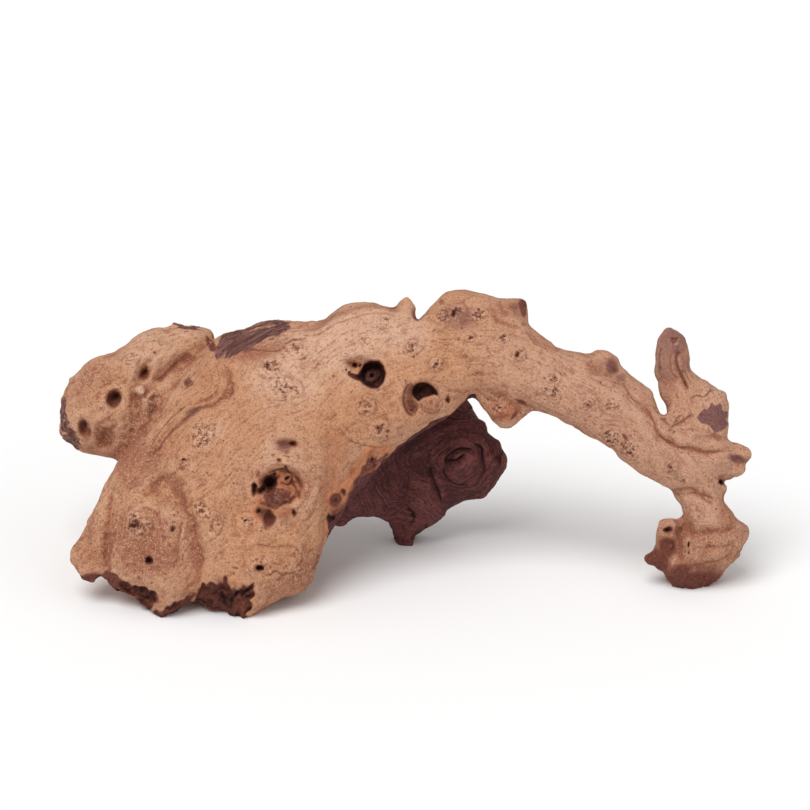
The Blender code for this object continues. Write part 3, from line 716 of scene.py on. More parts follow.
# %% [markdown]
# The broad relief comes first. Burls stand up a little, with ripples around them like a drop in water. Each
# has a rim with a red ring outside it, and both are broken here and there, as on worn wood. Sand has eaten
# the soft wood between the hard fibres, so everything else is finely wrinkled along the grain.

# %% Burls and wrinkles
BURL_RISE = 0.17
RIPPLE, RIPPLE_HEIGHT = 2.8 * MM, 0.08
RIM_HEIGHT = 0.3
WRINKLE = np.array([26, 3.2, 3.2]) * MM
WRINKLE_HEIGHT = 0.34
FINE_WRINKLE = np.array([9, 1.8, 1.8]) * MM
FINE_HEIGHT = 0.22
KNOB, KNOB_HEIGHT = 14 * MM, 0.75
BUMP, BUMP_HEIGHT = 6 * MM, 0.5
CRACK = np.array([30, 6, 6]) * MM
CRACK_DEPTH = 0.3
CRUMB, CRUMB_HEIGHT = 3.2 * MM, 0.7
RING_FAR = 60.0

everywhere = np.arange(len(points))
ring = np.full(len(points), RING_FAR)
swirl = np.zeros(len(points))
warp = 0.36 * rough(points, 9 * MM, 17, 2)
for middle, radius, share in knots:
    gap = np.linalg.norm(points - middle, axis=1)
    close = np.flatnonzero(gap < 3.4 * radius)
    gap = gap[close] * (1 + warp[close]) + warp[close] * 4 * MM
    rise = share * bell(gap, radius) * BURL_RISE * radius / MM
    ripple = RIPPLE_HEIGHT * share * bell(gap, 1.4 * radius) * np.cos(gap / RIPPLE * 2 * math.pi)
    out = gap / radius
    broken = ramp(-0.5, 0.6, lumps(points[close], 5 * MM, 24))
    rim = RIM_HEIGHT * share * broken * (bell(out - 0.9, 0.16) - bell(out - 1.18, 0.16))
    swell(close, rise + ripple + rim)
    nearer = gap / MM < ring[close]
    ring[close[nearer]] = gap[nearer] / MM
    swirl[close] = np.maximum(swirl[close], bell(gap, 1.6 * radius))
    stain["speck"][close] = np.maximum(stain["speck"][close], share * fall(0.5, 1.15, out))
    stain["red"][close] = np.maximum(stain["red"][close], 0.5 * share * broken * bell(out - 1.15, 0.2))

broad = rough(points, 34 * MM, 5, 2)
wrinkles = WRINKLE_HEIGHT * rough(grain / WRINKLE, 1, 7, 2) + FINE_HEIGHT * lumps(grain / FINE_WRINKLE, 1, 9)
bumps = KNOB_HEIGHT * rough(points, KNOB, 18, 2) + BUMP_HEIGHT * lumps(points, BUMP, 19)
bumps += CRUMB_HEIGHT * stain["speck"] * lumps(points, CRUMB, 20)
cracks = bell(lumps(grain / CRACK, 1, 21), 0.07) * ramp(0, 0.5, lumps(points, 22 * MM, 22))
swell(everywhere, 0.9 * broad + wrinkles * (1 - 0.6 * swirl) + bumps - CRACK_DEPTH * cracks)
stain["red"] = np.maximum(stain["red"], 0.25 * cracks)
print(f"burls up to {max(BURL_RISE * radius / MM for _, radius, _ in knots):.1f} mm high")

# %% [markdown]
# Furrows are where two limbs or two years of growth have closed on each other. They are lined red-brown,
# and many have a rounded lip on their left. Each is a line of places, a depth and a half width in
# millimetres, the height of its lip, and how red it is. In the heartwood they are cracks with no red at all,
# painted black inside as painted shade.

# %% Furrows
FURROWS = {
    "shoulder": (((219, 358), (230, 371), (231, 392), (223, 400), (209, 408), (193, 414), (181, 424),
        (164, 443), (152, 461), (146, 477)), 1.8, 1.9, 0.9, 1.0),
    "shoulder_second": (((214, 372), (219, 390), (205, 401), (186, 409), (170, 424), (154, 446)), 0.9, 1.2,
        0.5, 0.45),
    "burl_valley": (((212, 345), (197, 359), (181, 364), (164, 375), (153, 388)), 2.0, 2.2, 0.9, 0.5),
    "shoulder_third": (((222, 362), (225, 378), (222, 391), (211, 400), (196, 406)), 0.4, 0.6, 0.2, 0.4),
    "rope_hollow": (((197, 419), (183, 431), (169, 446), (158, 461), (152, 476)), 1.5, 2.8, 0.5, 0.5),
    "burl_under": (((118, 456), (129, 447), (141, 434), (149, 420), (154, 408), (158, 396)), 1.8, 2.6, 0.6,
        0.6),
    "lump_groove": (((140, 502), (150, 490), (161, 479), (174, 483), (182, 496), (188, 511), (193, 525),
        (198.5, 541), (200, 560), (196, 580)), 1.2, 3.0, 0.9, 0.95),
    "lump_arc": (((136, 509), (146, 508), (155, 512), (161, 521), (162, 534)), 0.8, 1.0, 0.5, 0.5),
    "lump_crevice": (((182, 519), (180, 532), (178, 546), (177, 560), (173, 573)), 1.3, 0.8, 0.4, 0.6),
    "toe_crease": (((111, 483), (111, 506), (109, 530), (108, 555), (107, 573)), 1.2, 1.3, 0.5, 0.3),
    "toe_wrinkle": (((96, 508), (101, 524), (97, 545)), 0.6, 1.0, 0.3, 0.2),
    "bark_line": (((240, 357), (250, 352), (262, 351), (276, 352), (286, 346), (294, 340), (312, 339)), 1.1,
        1.0, 0.6, 1.3),
    "rim_crack": (((337, 424), (345, 436), (352, 441), (368, 446), (382, 447), (391, 449)), 0.7, 0.6, 0.2,
        0.7),
    "rim_line": (((464, 392), (454, 392), (446, 390)), 0.6, 0.7, 0.3, 0.6),
    "passage_lip": (((440, 397), (455, 397), (466, 391), (478, 389), (489, 398), (503, 402)), 0.5, 0.8, 0.4,
        0.5),
    "low_swirl": (((246, 548), (258, 544), (274, 547), (290, 546), (300, 552), (302, 562), (292, 570)), 0.5,
        0.6, 0.3, 0.6),
    "low_swirl_outer": (((264, 572), (269, 575), (276, 571), (281, 574), (288, 573), (299, 570),
        (314, 567)), 0.6, 0.6, 0.3, 0.65),
    "wrinkle_right": (((316, 493), (316, 506), (309, 517), (298, 522)), 0.6, 0.9, 0.4, 0.25),
    "hump_crack": (((458, 331), (458, 340), (447, 345), (436, 341), (425, 341)), 0.6, 0.7, 0.3, 0.5),
    "hump_step": (((486, 300), (492, 310), (499, 320), (512, 326), (524, 330)), 1.3, 1.5, 0.8, 0.55),
    "hump_fold": (((425, 312), (437, 326), (452, 336), (472, 344), (492, 341)), 0.5, 0.9, 0.3, 0.3),
    "stub_neck": (((498, 299), (503, 309), (509, 319)), 0.8, 1.2, 0.5, 0.5),
    "under_crack": (((503, 403), (520, 404), (532, 406)), 0.9, 0.8, 0.3, 0.6),
    "knob_root": (((583, 359), (592, 369), (601, 376), (612, 378)), 1.1, 1.8, 0.5, 0.8),
    "arch_furrow": (((601, 376), (623, 385), (636, 402), (650, 413), (657, 433), (671, 444), (692, 448),
        (709, 453), (725, 450), (737, 454)), 1.7, 1.5, 1.1, 0.6),
    "crotch": (((655, 414), (664, 420), (673, 426), (686, 419), (698, 413.5)), 1.4, 1.3, 0.6, 0.8),
    "crotch_low": (((664, 431), (672, 428), (676, 420), (685, 412)), 0.8, 0.9, 0.4, 0.5),
    "crotch_line": (((673, 437), (674, 431), (684, 430), (697, 431), (712, 434)), 0.5, 0.6, 0.3, 0.5),
    "patch_under": (((688, 444), (700, 438), (716, 436), (724, 441)), 0.7, 1.0, 0.4, 0.4),
    "finger_fold": (((684, 347), (676, 353), (676, 365), (682, 378), (689, 392)), 1.8, 1.3, 0.9, 1.0),
    "finger_fold_left": (((671, 350), (670, 362), (672, 373), (680, 380)), 0.9, 1.3, 0.5, 0.7),
    "finger_fold_right": (((685, 349), (684, 360), (686, 372), (692, 384)), 0.7, 1.0, 0.4, 0.45),
    "zig_zag": (((688, 400), (697, 396), (704, 397), (711, 391), (717, 390)), 0.8, 0.7, 0.3, 0.5),
    "neck_upper": (((664, 483), (673, 490), (684, 487), (694, 490), (709, 496), (719, 502)), 1.1, 1.3, 0.7,
        0.65),
    "neck_lower": (((668, 489), (682, 494), (697, 494), (708, 501), (716, 504)), 0.8, 1.0, 0.4, 0.5),
    "foot_fold": (((684, 522), (692, 529), (703.5, 533), (725, 533), (741, 527)), 2.2, 3.0, 0.8, 1.0),
    "foot_low_fold": (((687, 559), (700, 564), (713, 562.5), (726, 559), (736, 553)), 1.6, 1.6, 0.9, 0.85),
    "foot_split": (((683, 522), (680, 535), (680, 548), (686, 565)), 1.6, 1.4, 0.7, 0.9),
    "foot_stripe": (((690, 546), (704, 548), (722, 546), (736, 541)), 0.5, 0.8, 0.4, 0.5),
    "leg_crack": (((430, 464), (432, 475), (438, 490), (445, 505)), 2.4, 0.9, 0.6, 0),
    "leg_top_crack": (((414, 445), (424, 450), (431, 456)), 0.5, 0.5, 0.2, 0),
    "leg_knot_arc": (((445, 466), (446, 458), (453, 452), (463, 448), (474, 448)), 1.2, 0.9, 0.6, 0),
    "leg_knot_crack": (((444, 459), (455, 459), (466, 453)), 2.0, 0.9, 0.4, 0),
    "leg_knot_under": (((444, 464), (447, 476), (457, 483), (470, 482)), 0.9, 0.8, 0.4, 0),
    "leg_side_crack": (((471, 441), (480, 448), (484, 462), (480, 480)), 1.4, 0.8, 0.6, 0),
    "leg_end_crack": (((490, 448), (495, 456), (503, 461)), 1.3, 0.9, 0.5, 0),
    "leg_end_arc": (((505, 445), (499, 456), (500, 470)), 0.9, 0.9, 0.4, 0),
    "leg_pit_arc": (((405, 506), (412, 510), (415, 518), (409, 526)), 2.2, 1.1, 0.9, 0),
    "leg_low_crack": (((413, 531), (422, 530), (430, 523)), 0.8, 0.8, 0.5, 0),
}
BACK_FURROWS = {
    "back_shoulder": (((225, 345), (212, 372), (190, 395), (160, 420), (142, 455)), 2.0, 2.2, 0.9, 0.8),
    "back_spiral": (((300, 335), (280, 370), (290, 410), (262, 440), (230, 470), (212, 510)), 1.4, 1.8, 0.8,
        0.7),
    "back_low": (((140, 500), (170, 520), (185, 550), (180, 585)), 1.5, 2.0, 0.7, 0.8),
    "back_ridge": (((340, 330), (370, 350), (410, 350), (440, 370)), 1.2, 1.6, 0.6, 0.5),
    "back_arch": (((430, 330), (480, 350), (530, 362), (580, 395), (640, 425), (690, 450)), 1.3, 1.7, 0.8,
        0.8),
    "back_crotch": (((650, 405), (672, 430), (700, 432), (728, 440)), 1.1, 1.4, 0.6, 0.6),
    "back_finger": (((672, 340), (680, 365), (678, 390), (690, 410)), 0.9, 1.2, 0.5, 0.5),
    "back_foot": (((690, 500), (700, 525), (720, 545), (738, 548)), 1.3, 1.8, 0.7, 0.8),
    "back_leg": (((360, 430), (400, 450), (440, 445), (490, 470)), 1.1, 1.4, 0.6, 0),
    "back_face": (((250, 500), (280, 520), (300, 550), (290, 575)), 1.0, 1.5, 0.6, 0.5),
    "back_burl": (((170, 345), (150, 370), (120, 380), (90, 410)), 1.1, 1.5, 0.6, 0.5),
}
TAPER = 0.1


def furrow(route, deep, width, lip, redness, side):
    """Presses a line into the wood: steep with a low lip on its left, sloping on its right."""
    close, beside, place = along_route(route, 6 * width + 3, side)
    fade = tapered(place, 2 * TAPER)
    uneven = fade * (1 + 0.7 * rough(points[close], 12 * MM, 51, 2))
    beside = beside + (0.8 * width + 0.6) * MM * rough(points[close], 8 * MM, 52, 2)
    out = beside / (width * MM)
    strand = lumps(np.stack([40 * place, beside / (0.8 * MM), 0 * place], 1), 1, 53)
    slope = np.where(out > 0, 0.8, 2.2)
    press(close, uneven * deep * (0.75 * bell(out, slope) + 0.25 * bell(out, 0.5)), side)
    press(close, -uneven * 0.6 * lip * bell(out - 2.2, 1.7), side)
    press(close, 0.2 * strand * fade * bell(out, 2.5), side)
    patchy = uneven * (1 + 0.6 * lumps(points[close], 6 * MM, 54))
    shade = 0.34 * bell(out, 0.6) + 0.36 * bell(out, 1.3 * slope) + 0.3 * strand * bell(out, 2)
    dye("red", close, redness * patchy * shade, side)
    thin = ramp(1.3, 0.6, width)
    dye("umber", close, (0.24 + 0.5 * thin) * redness * patchy * bell(out, 0.4 + 0.3 * thin), side)
    # A heartwood crack is painted black inside, as painted shade.
    if not redness:
        dye("hollow", close, 0.9 * patchy * bell(out, 0.6), side)
    away = np.abs(beside) / MM
    nearer = away < ring[close]
    ring[close[nearer]] = away[nearer]
    swirl[close] = np.maximum(swirl[close], 0.75 * fade * bell(out, 3))


for side, table in (("front", FURROWS), ("back", BACK_FURROWS)):
    for row in table.values():
        furrow(*row, side)
print(f"{len(FURROWS) + len(BACK_FURROWS)} furrows")

# %% [markdown]
# Pits and holes are what is left where small soft knots have rotted out or been blasted out. Each is an
# oval: where it is, its two radii in millimetres, how many degrees it is turned, how deep it is, how steep
# its wall is (0 is a saucer, near 1 is a drill hole), and how dark it is inside.
#
# One hole near the left end was bored. It is almost round and its wall is clean, with a pale scraped ring.

# %% Pits
PITS = {
    "cheek_hole": (258.4, 567.7, 3.0, 2.0, 0, 4.2, 0.5, 1.0),
    "cheek_slit": (235.5, 567.7, 1.8, 0.7, 0, 0.9, 0.3, 0.6),
    "lump_dot": (172.5, 529.5, 1.5, 1.9, 0, 2.2, 0.4, 0.85),
    "lump_hole": (134.7, 526.5, 3.4, 2.8, 28, 2.8, 0.3, 0.85),
    "lump_chip": (141, 519, 1.6, 1.2, 0, 1.2, 0.3, 0.5),
    "edge_hole": (329, 517.5, 2.6, 2.2, 0, 3.0, 0.4, 0.9),
    "left_dot": (184, 460, 1.3, 1.0, 0, 1.5, 0.4, 0.8),
    "left_low_dot": (182, 468, 2.0, 1.5, 0, 1.0, 0.2, 0.5),
    "burl_big": (114, 398, 5.2, 4.8, 35, 4.8, 0.25, 0.5),
    "burl_tall": (143.5, 374, 3.4, 5.2, -28, 4.4, 0.1, 0.5),
    "burl_hollow": (84, 428, 3.2, 6.2, 6, 4.4, 0.2, 0.5),
    "burl_tall_top": (139, 364, 2.6, 3.6, -20, 1.4, 0.1, 0.2),
    "burl_big_deep": (115, 396, 2.6, 2.2, 35, 1.6, 0.2, 0.75),
    "burl_tall_deep": (145, 371, 1.5, 2.6, -28, 1.4, 0.2, 0.7),
    "burl_hollow_deep": (84, 425, 1.3, 3.4, 6, 1.2, 0.2, 0.7),
    "burl_hollow_side": (107, 437, 8.5, 11.5, -8, 3.8, 0.0, 0.1),
    "burl_scar": (132, 360, 2.6, 1.0, 0, 0.7, 0.2, 0.4), "burl_dot": (155, 352, 0.9, 0.9, 0, 0.9, 0.4, 0.6),
    "burl_shallow": (95, 371, 5, 3.6, 20, 1.2, 0.1, 0.05),
    "left_eye": (189, 383.5, 3.2, 2.0, -12, 1.5, 0.2, 0.65),
    "plum_dent": (194, 411, 5.0, 1.7, 22, 1.0, 0.2, 0.1),
    "nub_dot": (153.5, 398, 3.4, 2.6, 20, 1.3, 0.2, 0.55),
    "twin_hole": (267.5, 366, 1.6, 2.4, 15, 1.9, 0.3, 0.8),
    "twin_side": (273, 370, 2.4, 1.7, -20, 1.0, 0.2, 0.45),
    "top_dent": (297, 350, 3.2, 1.6, 15, 0.8, 0.2, 0.4),
    "hollow_dark": (293, 443.5, 3.8, 2.6, -15, 3.0, 0.15, 0.9),
    "hollow_plum": (284, 444, 6.4, 3.8, -10, 2.2, 0.1, 0.3),
    "hollow_low": (287, 452.5, 2.6, 1.8, 30, 1.2, 0.2, 0.35),
    "dot_one": (278.7, 460, 1.5, 1.3, 0, 1.1, 0.4, 0.7), "dot_two": (273, 455, 1.1, 0.8, 0, 0.6, 0.4, 0.5),
    "dot_three": (288.5, 457, 1.0, 0.9, 0, 0.6, 0.4, 0.45),
    "low_mid": (202, 511.5, 1.7, 2.0, 0, 1.3, 0.3, 0.6),
    "low_right": (246, 520.5, 1.2, 1.0, 0, 0.9, 0.4, 0.75),
    "low_right_side": (252, 525, 1.0, 0.8, 0, 0.6, 0.4, 0.5),
    "beside_eye": (369, 407, 1.0, 0.8, 0, 0.6, 0.4, 0.6),
    "beside_eye_two": (366.5, 411.5, 0.8, 0.7, 0, 0.5, 0.4, 0.6),
    "under_brow": (377.5, 427, 1.9, 1.5, 0, 1.2, 0.3, 0.8),
    "under_brow_two": (387.5, 431, 1.0, 1.0, 0, 0.7, 0.4, 0.6),
    "under_brow_low": (387, 436, 0.8, 0.6, 0, 0.4, 0.4, 0.6),
    "rim_knot": (371.5, 458.5, 2.2, 1.6, 35, 1.9, 0.3, 0.85),
    "rim_knot_low": (375, 465, 1.8, 1.5, 0, 1.3, 0.3, 0.7),
    "pin_right": (411.5, 346, 1.9, 1.3, 25, 1.2, 0.3, 0.6),
    "pin_brow": (437.5, 364, 1.7, 0.8, 10, 0.9, 0.3, 0.75),
    "pin_ridge": (385.5, 319, 1.0, 0.8, 0, 0.7, 0.4, 0.6),
    "brow_right": (447.7, 399.5, 1.5, 2.4, 0, 1.5, 0.3, 0.8),
    "hump_left": (443, 316, 3.0, 1.5, -12, 1.2, 0.2, 0.45),
    "hump_mid": (454.5, 314, 1.9, 2.7, -20, 1.9, 0.3, 0.85),
    "hump_right": (479, 310, 1.1, 2.0, 0, 1.1, 0.3, 0.65),
    "hump_right_low": (480, 317, 1.5, 0.9, 0, 0.8, 0.3, 0.55),
    "hump_low": (471.4, 338, 1.4, 1.1, 0, 1.0, 0.3, 0.8),
    "hump_end": (504.5, 336, 1.8, 1.1, 25, 1.0, 0.3, 0.7),
    "slit": (517.5, 355, 1.3, 3.0, -38, 1.6, 0.3, 0.85),
    "slit_side": (519, 361, 1.8, 0.9, 0, 0.6, 0.3, 0.4),
    "arch_one": (553, 390.5, 1.3, 1.6, 0, 1.0, 0.3, 0.75),
    "arch_two": (555, 378, 1.2, 1.0, 0, 0.7, 0.3, 0.6),
    "arch_three": (588.5, 405, 1.3, 1.5, -20, 0.9, 0.3, 0.6),
    "arch_four": (610, 404, 1.9, 1.3, 0, 0.8, 0.2, 0.4),
    "arch_five": (606, 433, 0.8, 2.6, -55, 0.9, 0.2, 0.6),
    "arch_six": (608, 441, 1.8, 1.2, 0, 1.0, 0.3, 0.7),
    "arch_seven": (625, 437, 1.0, 3.4, 35, 0.9, 0.2, 0.6),
    "arch_eight": (630, 452, 1.9, 1.4, 0, 0.9, 0.2, 0.55),
    "arch_nine": (671, 467, 1.4, 1.2, 0, 0.8, 0.3, 0.6), "arch_ten": (684, 480, 1.2, 1.2, 0, 0.7, 0.3, 0.5),
    "under_knot": (500, 408, 1.9, 1.5, 0, 1.2, 0.3, 0.7),
    "under_orange": (517, 409, 2.6, 3.4, -25, 1.9, 0.3, 0.4),
    "spur_hollow": (735, 458, 5.2, 1.7, -6, 1.5, 0.2, 0.1), "notch": (721, 482, 1.6, 1.5, 0, 2.2, 0.3, 1.0),
    "tip_knot": (674, 339, 2.6, 1.7, -15, 1.0, 0.2, 0.5),
    "knob_pit": (667, 530, 3.6, 2.0, 0, 2.4, 0.3, 0.85),
    "foot_slit": (688, 545, 0.8, 2.4, -8, 1.5, 0.3, 0.95),
    "foot_slit_low": (688, 553, 0.9, 0.9, 0, 1.0, 0.3, 0.8),
    "foot_side_pit": (664, 548, 5, 3, 20, 1.2, 0.1, 0.1),
    "leg_hollow": (413, 514, 2.0, 3.8, -40, 1.9, 0.2, 0.4),
    "leg_knot": (461, 463, 8.2, 6.6, 0, -1.3, 0.1, 0),
    "leg_knot_pit": (452, 457, 2.6, 1.2, 8, 1.2, 0.3, 0.7),
    "leg_end": (496, 457, 2.4, 4.2, -20, 1.6, 0.2, 0.5),
    "leg_pale_slit": (410, 483, 0.5, 1.8, 0, 0.5, 0.3, 0),
    "leg_dent": (440, 429, 2.2, 1.6, 0, 0.7, 0.2, 0.3),
}
BACK_PITS = {
    "back_boss": (250, 390, 4.6, 3.8, 20, 4.2, 0.3, 0.85),
    "back_boss_side": (262, 398, 1.6, 1.2, 0, 1.2, 0.3, 0.7),
    "back_low": (205, 500, 3.2, 4.2, -25, 3.2, 0.3, 0.8),
    "back_left": (160, 430, 2.2, 1.6, 0, 1.9, 0.3, 0.8),
    "back_right": (320, 360, 2.4, 1.7, 30, 1.8, 0.3, 0.8),
    "back_mid": (330, 440, 3.6, 2.6, -10, 2.6, 0.3, 0.85),
    "back_top": (268, 335, 1.5, 1.2, 0, 1.0, 0.3, 0.7), "back_foot": (230, 560, 2.1, 1.8, 0, 1.7, 0.3, 0.8),
    "burl_back": (110, 385, 3.8, 3.0, 15, 3.0, 0.3, 0.8),
    "burl_back_top": (150, 350, 1.6, 1.9, 0, 1.3, 0.3, 0.7),
    "arch_back": (470, 335, 2.4, 1.8, 0, 1.8, 0.3, 0.8),
    "arch_back_mid": (545, 375, 1.8, 1.2, 25, 1.2, 0.3, 0.7),
    "arch_back_low": (600, 420, 2.0, 1.4, -20, 1.3, 0.3, 0.7),
    "arch_back_end": (665, 455, 2.2, 1.5, 0, 1.5, 0.3, 0.7),
    "leg_back": (440, 450, 3.0, 2.2, 0, 1.8, 0.2, 0.6),
    "leg_back_low": (395, 480, 1.8, 1.4, 0, 1.1, 0.3, 0.5),
    "foot_back": (700, 545, 2.2, 1.6, 0, 1.5, 0.3, 0.7),
    "finger_back": (676, 360, 1.5, 1.1, 0, 0.9, 0.3, 0.6),
}
BORED_HOLE, BORED_RADII, BORED_DEPTH = (148.5, 560.5), (2.5, 2.6), 4.2


def pit(middle, radii, turn, deep, steep, dark, side, shake=0.42):
    """Presses an oval into the wood with a low rim round it, and darkens its bottom: rot and painted shade.
    """
    close, out = spot(middle, radii, turn, side, shake)
    bowl = fall(steep, 1.15, out)
    press(close, deep * bowl - 0.09 * deep * bell(out - 1.35, 0.3), side)
    dye("hollow", close, dark**2 * fall(0.2, 0.85, out), side)
    dye("umber", close, dark * fall(0.55, 1.15, out), side)
    dye("red", close, 0.8 * dark * fall(0.8, 1.7, out), side)


for side, table in (("front", PITS), ("back", BACK_PITS)):
    for right, down, long, short, turn, deep, steep, dark in table.values():
        pit((right, down), (long, short), turn, deep, steep, dark, side)
pit(BORED_HOLE, BORED_RADII, 0, BORED_DEPTH, 0.6, 1.0, "front", shake=0.05)
close, out = spot(BORED_HOLE, BORED_RADII, shake=0.1)
dye("pale", close, bell(out - 1.3, 0.2))
print(f"{len(PITS) + len(BACK_PITS)} pits and a bored hole")

# %% [markdown]
# The eye is the mark that one sees first: a deep egg-shaped socket with the stump of the old shoot still
# standing in it, a pin hole in the stump's middle, and a brown saucer running off to the left.

# %% The eye socket
EYE_OUTLINE = (
    (356.5, 377), (361, 371), (365.5, 364.5), (371, 361.5), (378, 361.5), (383, 366), (384.5, 374),
    (382.5, 382), (377.5, 387.5), (371, 387.5), (364, 383.5),
)
EYE_DEPTH = 8
STUMP, STUMP_RADIUS, STUMP_HEIGHT, STUMP_RING = (371.8, 375.3), 4.7, 4.4, 0.66
PIN_RADIUS, PIN_DEPTH = 1.4, 2.6
SAUCER_DEPTH = 1.8
SAUCER_DOTS = ((354.6, 364.5, 1.8), (360, 365.5, 1.3), (346.5, 369.5, 0.8), (349, 372.5, 0.9))

close, out = spot((364, 368), (15, 9), -32)
press(close, SAUCER_DEPTH * fall(0.1, 1.1, out))
close, share = patch(EYE_OUTLINE, 1.3, shake=0.4)
press(close, EYE_DEPTH * share)
# The socket's inside is painted near black and brown, as painted shade in the deep hole.
dye("hollow", close, 0.80 * ramp(0.15, 0.8, share) * (0.85 + 0.4 * rough(points[close], 4 * MM, 64, 2)))
dye("umber", close, ramp(0.05, 0.45, share))
press(close, 0.7 * share * rough(points[close], 3.5 * MM, 65, 2))
close, share = patch(EYE_OUTLINE, 2.8, shake=0.8)
dye("red", close, 1.4 * share)

# The stump, with a dark ring on it and the pin hole in its middle.
close, out = spot(STUMP, (STUMP_RADIUS, STUMP_RADIUS), shake=0.14)
press(close, -STUMP_HEIGHT * fall(0.55, 1.2, out) + 0.3 * bell(out - STUMP_RING, 0.12))
stump = fall(0.7, 1.15, out)
stain["hollow"][close] *= 1 - 0.5 * stump * front[close]
dye("plum", close, 0.9 * stump)
stain["umber"][close] *= 1 - 0.4 * stump * front[close]
dye("hollow", close, 0.5 * bell(out - STUMP_RING, 0.14))
close, out = spot(STUMP, (PIN_RADIUS, PIN_RADIUS), shake=0.06)
press(close, PIN_DEPTH * fall(0.5, 1, out))
# The pin hole is painted black, as painted shade.
dye("hollow", close, fall(0.7, 1.15, out))

# The saucer's brown, the crack at its lower edge, and its dots.
blot("amber", (356, 366), (6.2, 4.6), -35, 0.65, 0.5, 1.4, shake=0.3)
blot("umber", (353, 364), (4.6, 3.6), -35, 0.6, 0.2, shake=0.45)
blot("umber", (360, 360), (8, 4), 10, 0.4, 0.3, 1.3, shake=0.3)
close, out = spot((356, 377), (5.5, 1.8), -22)
press(close, 1.8 * fall(0.2, 1.1, out))
# The crack's bottom is painted dark, as painted shade.
dye("hollow", close, 0.5 * fall(0.3, 1.1, out))
dye("umber", close, fall(0.7, 1.3, out))
for right, down, radius in SAUCER_DOTS:
    pit((right, down), (radius, radius), 0, 1.6 * radius, 0.3, 0.95, "front")
print(f"eye socket {EYE_DEPTH} mm deep, stump {STUMP_HEIGHT} mm high")

# %% [markdown]
# The brow is a second socket to the right. A round pale knot has closed its lower half, so the hole is a
# half moon, and a brown crescent runs down its left side.

# %% The brow socket
BROW_SOCKET, BROW_RADII, BROW_DEPTH = (425, 392), (8.2, 6.0), 6
BROW_KNOT, BROW_KNOT_RADIUS, FLATTENED = (430.5, 405), 6.6, 0.74
CRESCENT, CRESCENT_HALF_WIDTH = ((417, 386), (412, 392), (410.5, 400), (412.5, 407), (419, 410.5)), 4.1 * MM
KNOT_LINES = (
    ((421, 404), (426, 407.5), (433, 408), (438, 404)),
    ((427, 405), (429, 401), (434, 400.5), (435.5, 404)),
)
RESIN, RESIN_RADII = (430.5, 402), (2.0, 1.4)

radii = (BROW_KNOT_RADIUS, BROW_KNOT_RADIUS * FLATTENED)
knot_close, knot_out = spot(BROW_KNOT, radii, -18, shake=0.26)
kept_out = np.ones(len(points))
kept_out[knot_close] = ramp(0.85, 1.1, knot_out)

# The crescent, which the knot covers.
close, beside, place = along_route(CRESCENT, 8)
band = bell(beside, CRESCENT_HALF_WIDTH) * ramp(0, 0.1, place) * fall(0.85, 1, place) * kept_out[close]
press(close, 2.1 * band)
dye("umber", close, (0.72 + 0.5 * rough(points[close], 5 * MM, 64, 2)) * band)
dye("umber", close, 0.8 * bell(beside + 4.3 * MM, 1.0 * MM) * ramp(0, 0.2, place) * fall(0.8, 1, place))
dye("red", close, 1.8 * band)
dye("plum", close, 0.3 * band)

# The hole, painted darkest at its wall as painted shade under the rim.
close, out = spot(BROW_SOCKET, BROW_RADII, -14, shake=0.12)
press(close, BROW_DEPTH * fall(0.5, 1.05, out) * kept_out[close])
inner = 0.62 + 0.45 * rough(points[close], 5 * MM, 78, 2)
dye("hollow", close, inner * fall(0.65, 0.95, out) * kept_out[close])
dye("hollow", close, 0.9 * bell(out - 0.85, 0.16) * kept_out[close])
dye("umber", close, fall(0.85, 1.1, out) * kept_out[close])
dye("red", close, 0.9 * fall(0.95, 1.3, out) * kept_out[close])

# The pale knot, with a broken line around it, two lines on it and a bead of resin.
press(knot_close, -0.5 * fall(0.3, 1.0, knot_out) + 0.4 * bell(knot_out - 1.08, 0.15))
press(knot_close, 0.6 * fall(0.7, 1.1, knot_out) * rough(points[knot_close], 3 * MM, 65, 2))
dye("red", knot_close, 0.6 * bell(knot_out - 1.05, 0.2) + 0.6 * bell(knot_out - 0.6, 0.14))
broken = ramp(-0.2, 0.6, lumps(points[knot_close], 6 * MM, 66))
dye("umber", knot_close, 0.3 * bell(knot_out - 1.08, 0.12) * broken)
dye("amber", knot_close, 0.35 * fall(0.3, 1.2, knot_out))
dye("speck", knot_close, 0.3 * fall(0.6, 1.2, knot_out))
for route in KNOT_LINES:
    close, beside, place = along_route(route, 3)
    press(close, 0.4 * bell(beside, 0.5 * MM))
    dye("umber", close, 0.45 * bell(beside, 0.45 * MM))
blot("amber", RESIN, RESIN_RADII, 70, 1, 0.6, 1.8, shake=0.4)
blot("umber", RESIN, RESIN_RADII, 70, 0.7, 0.2, 1.2, shake=0.4)
pit((412, 410), (0.9, 0.9), 0, 0.9, 0.3, 0.9, "front")
print(f"brow socket {BROW_DEPTH} mm deep behind a knot of {2 * BROW_KNOT_RADIUS} mm")

# %% [markdown]
# The amber knot is a rotted burl with resin in it: a round bowl with a raised rim, black holes at its left,
# a smooth plum-coloured lump at its bottom and orange wood above.

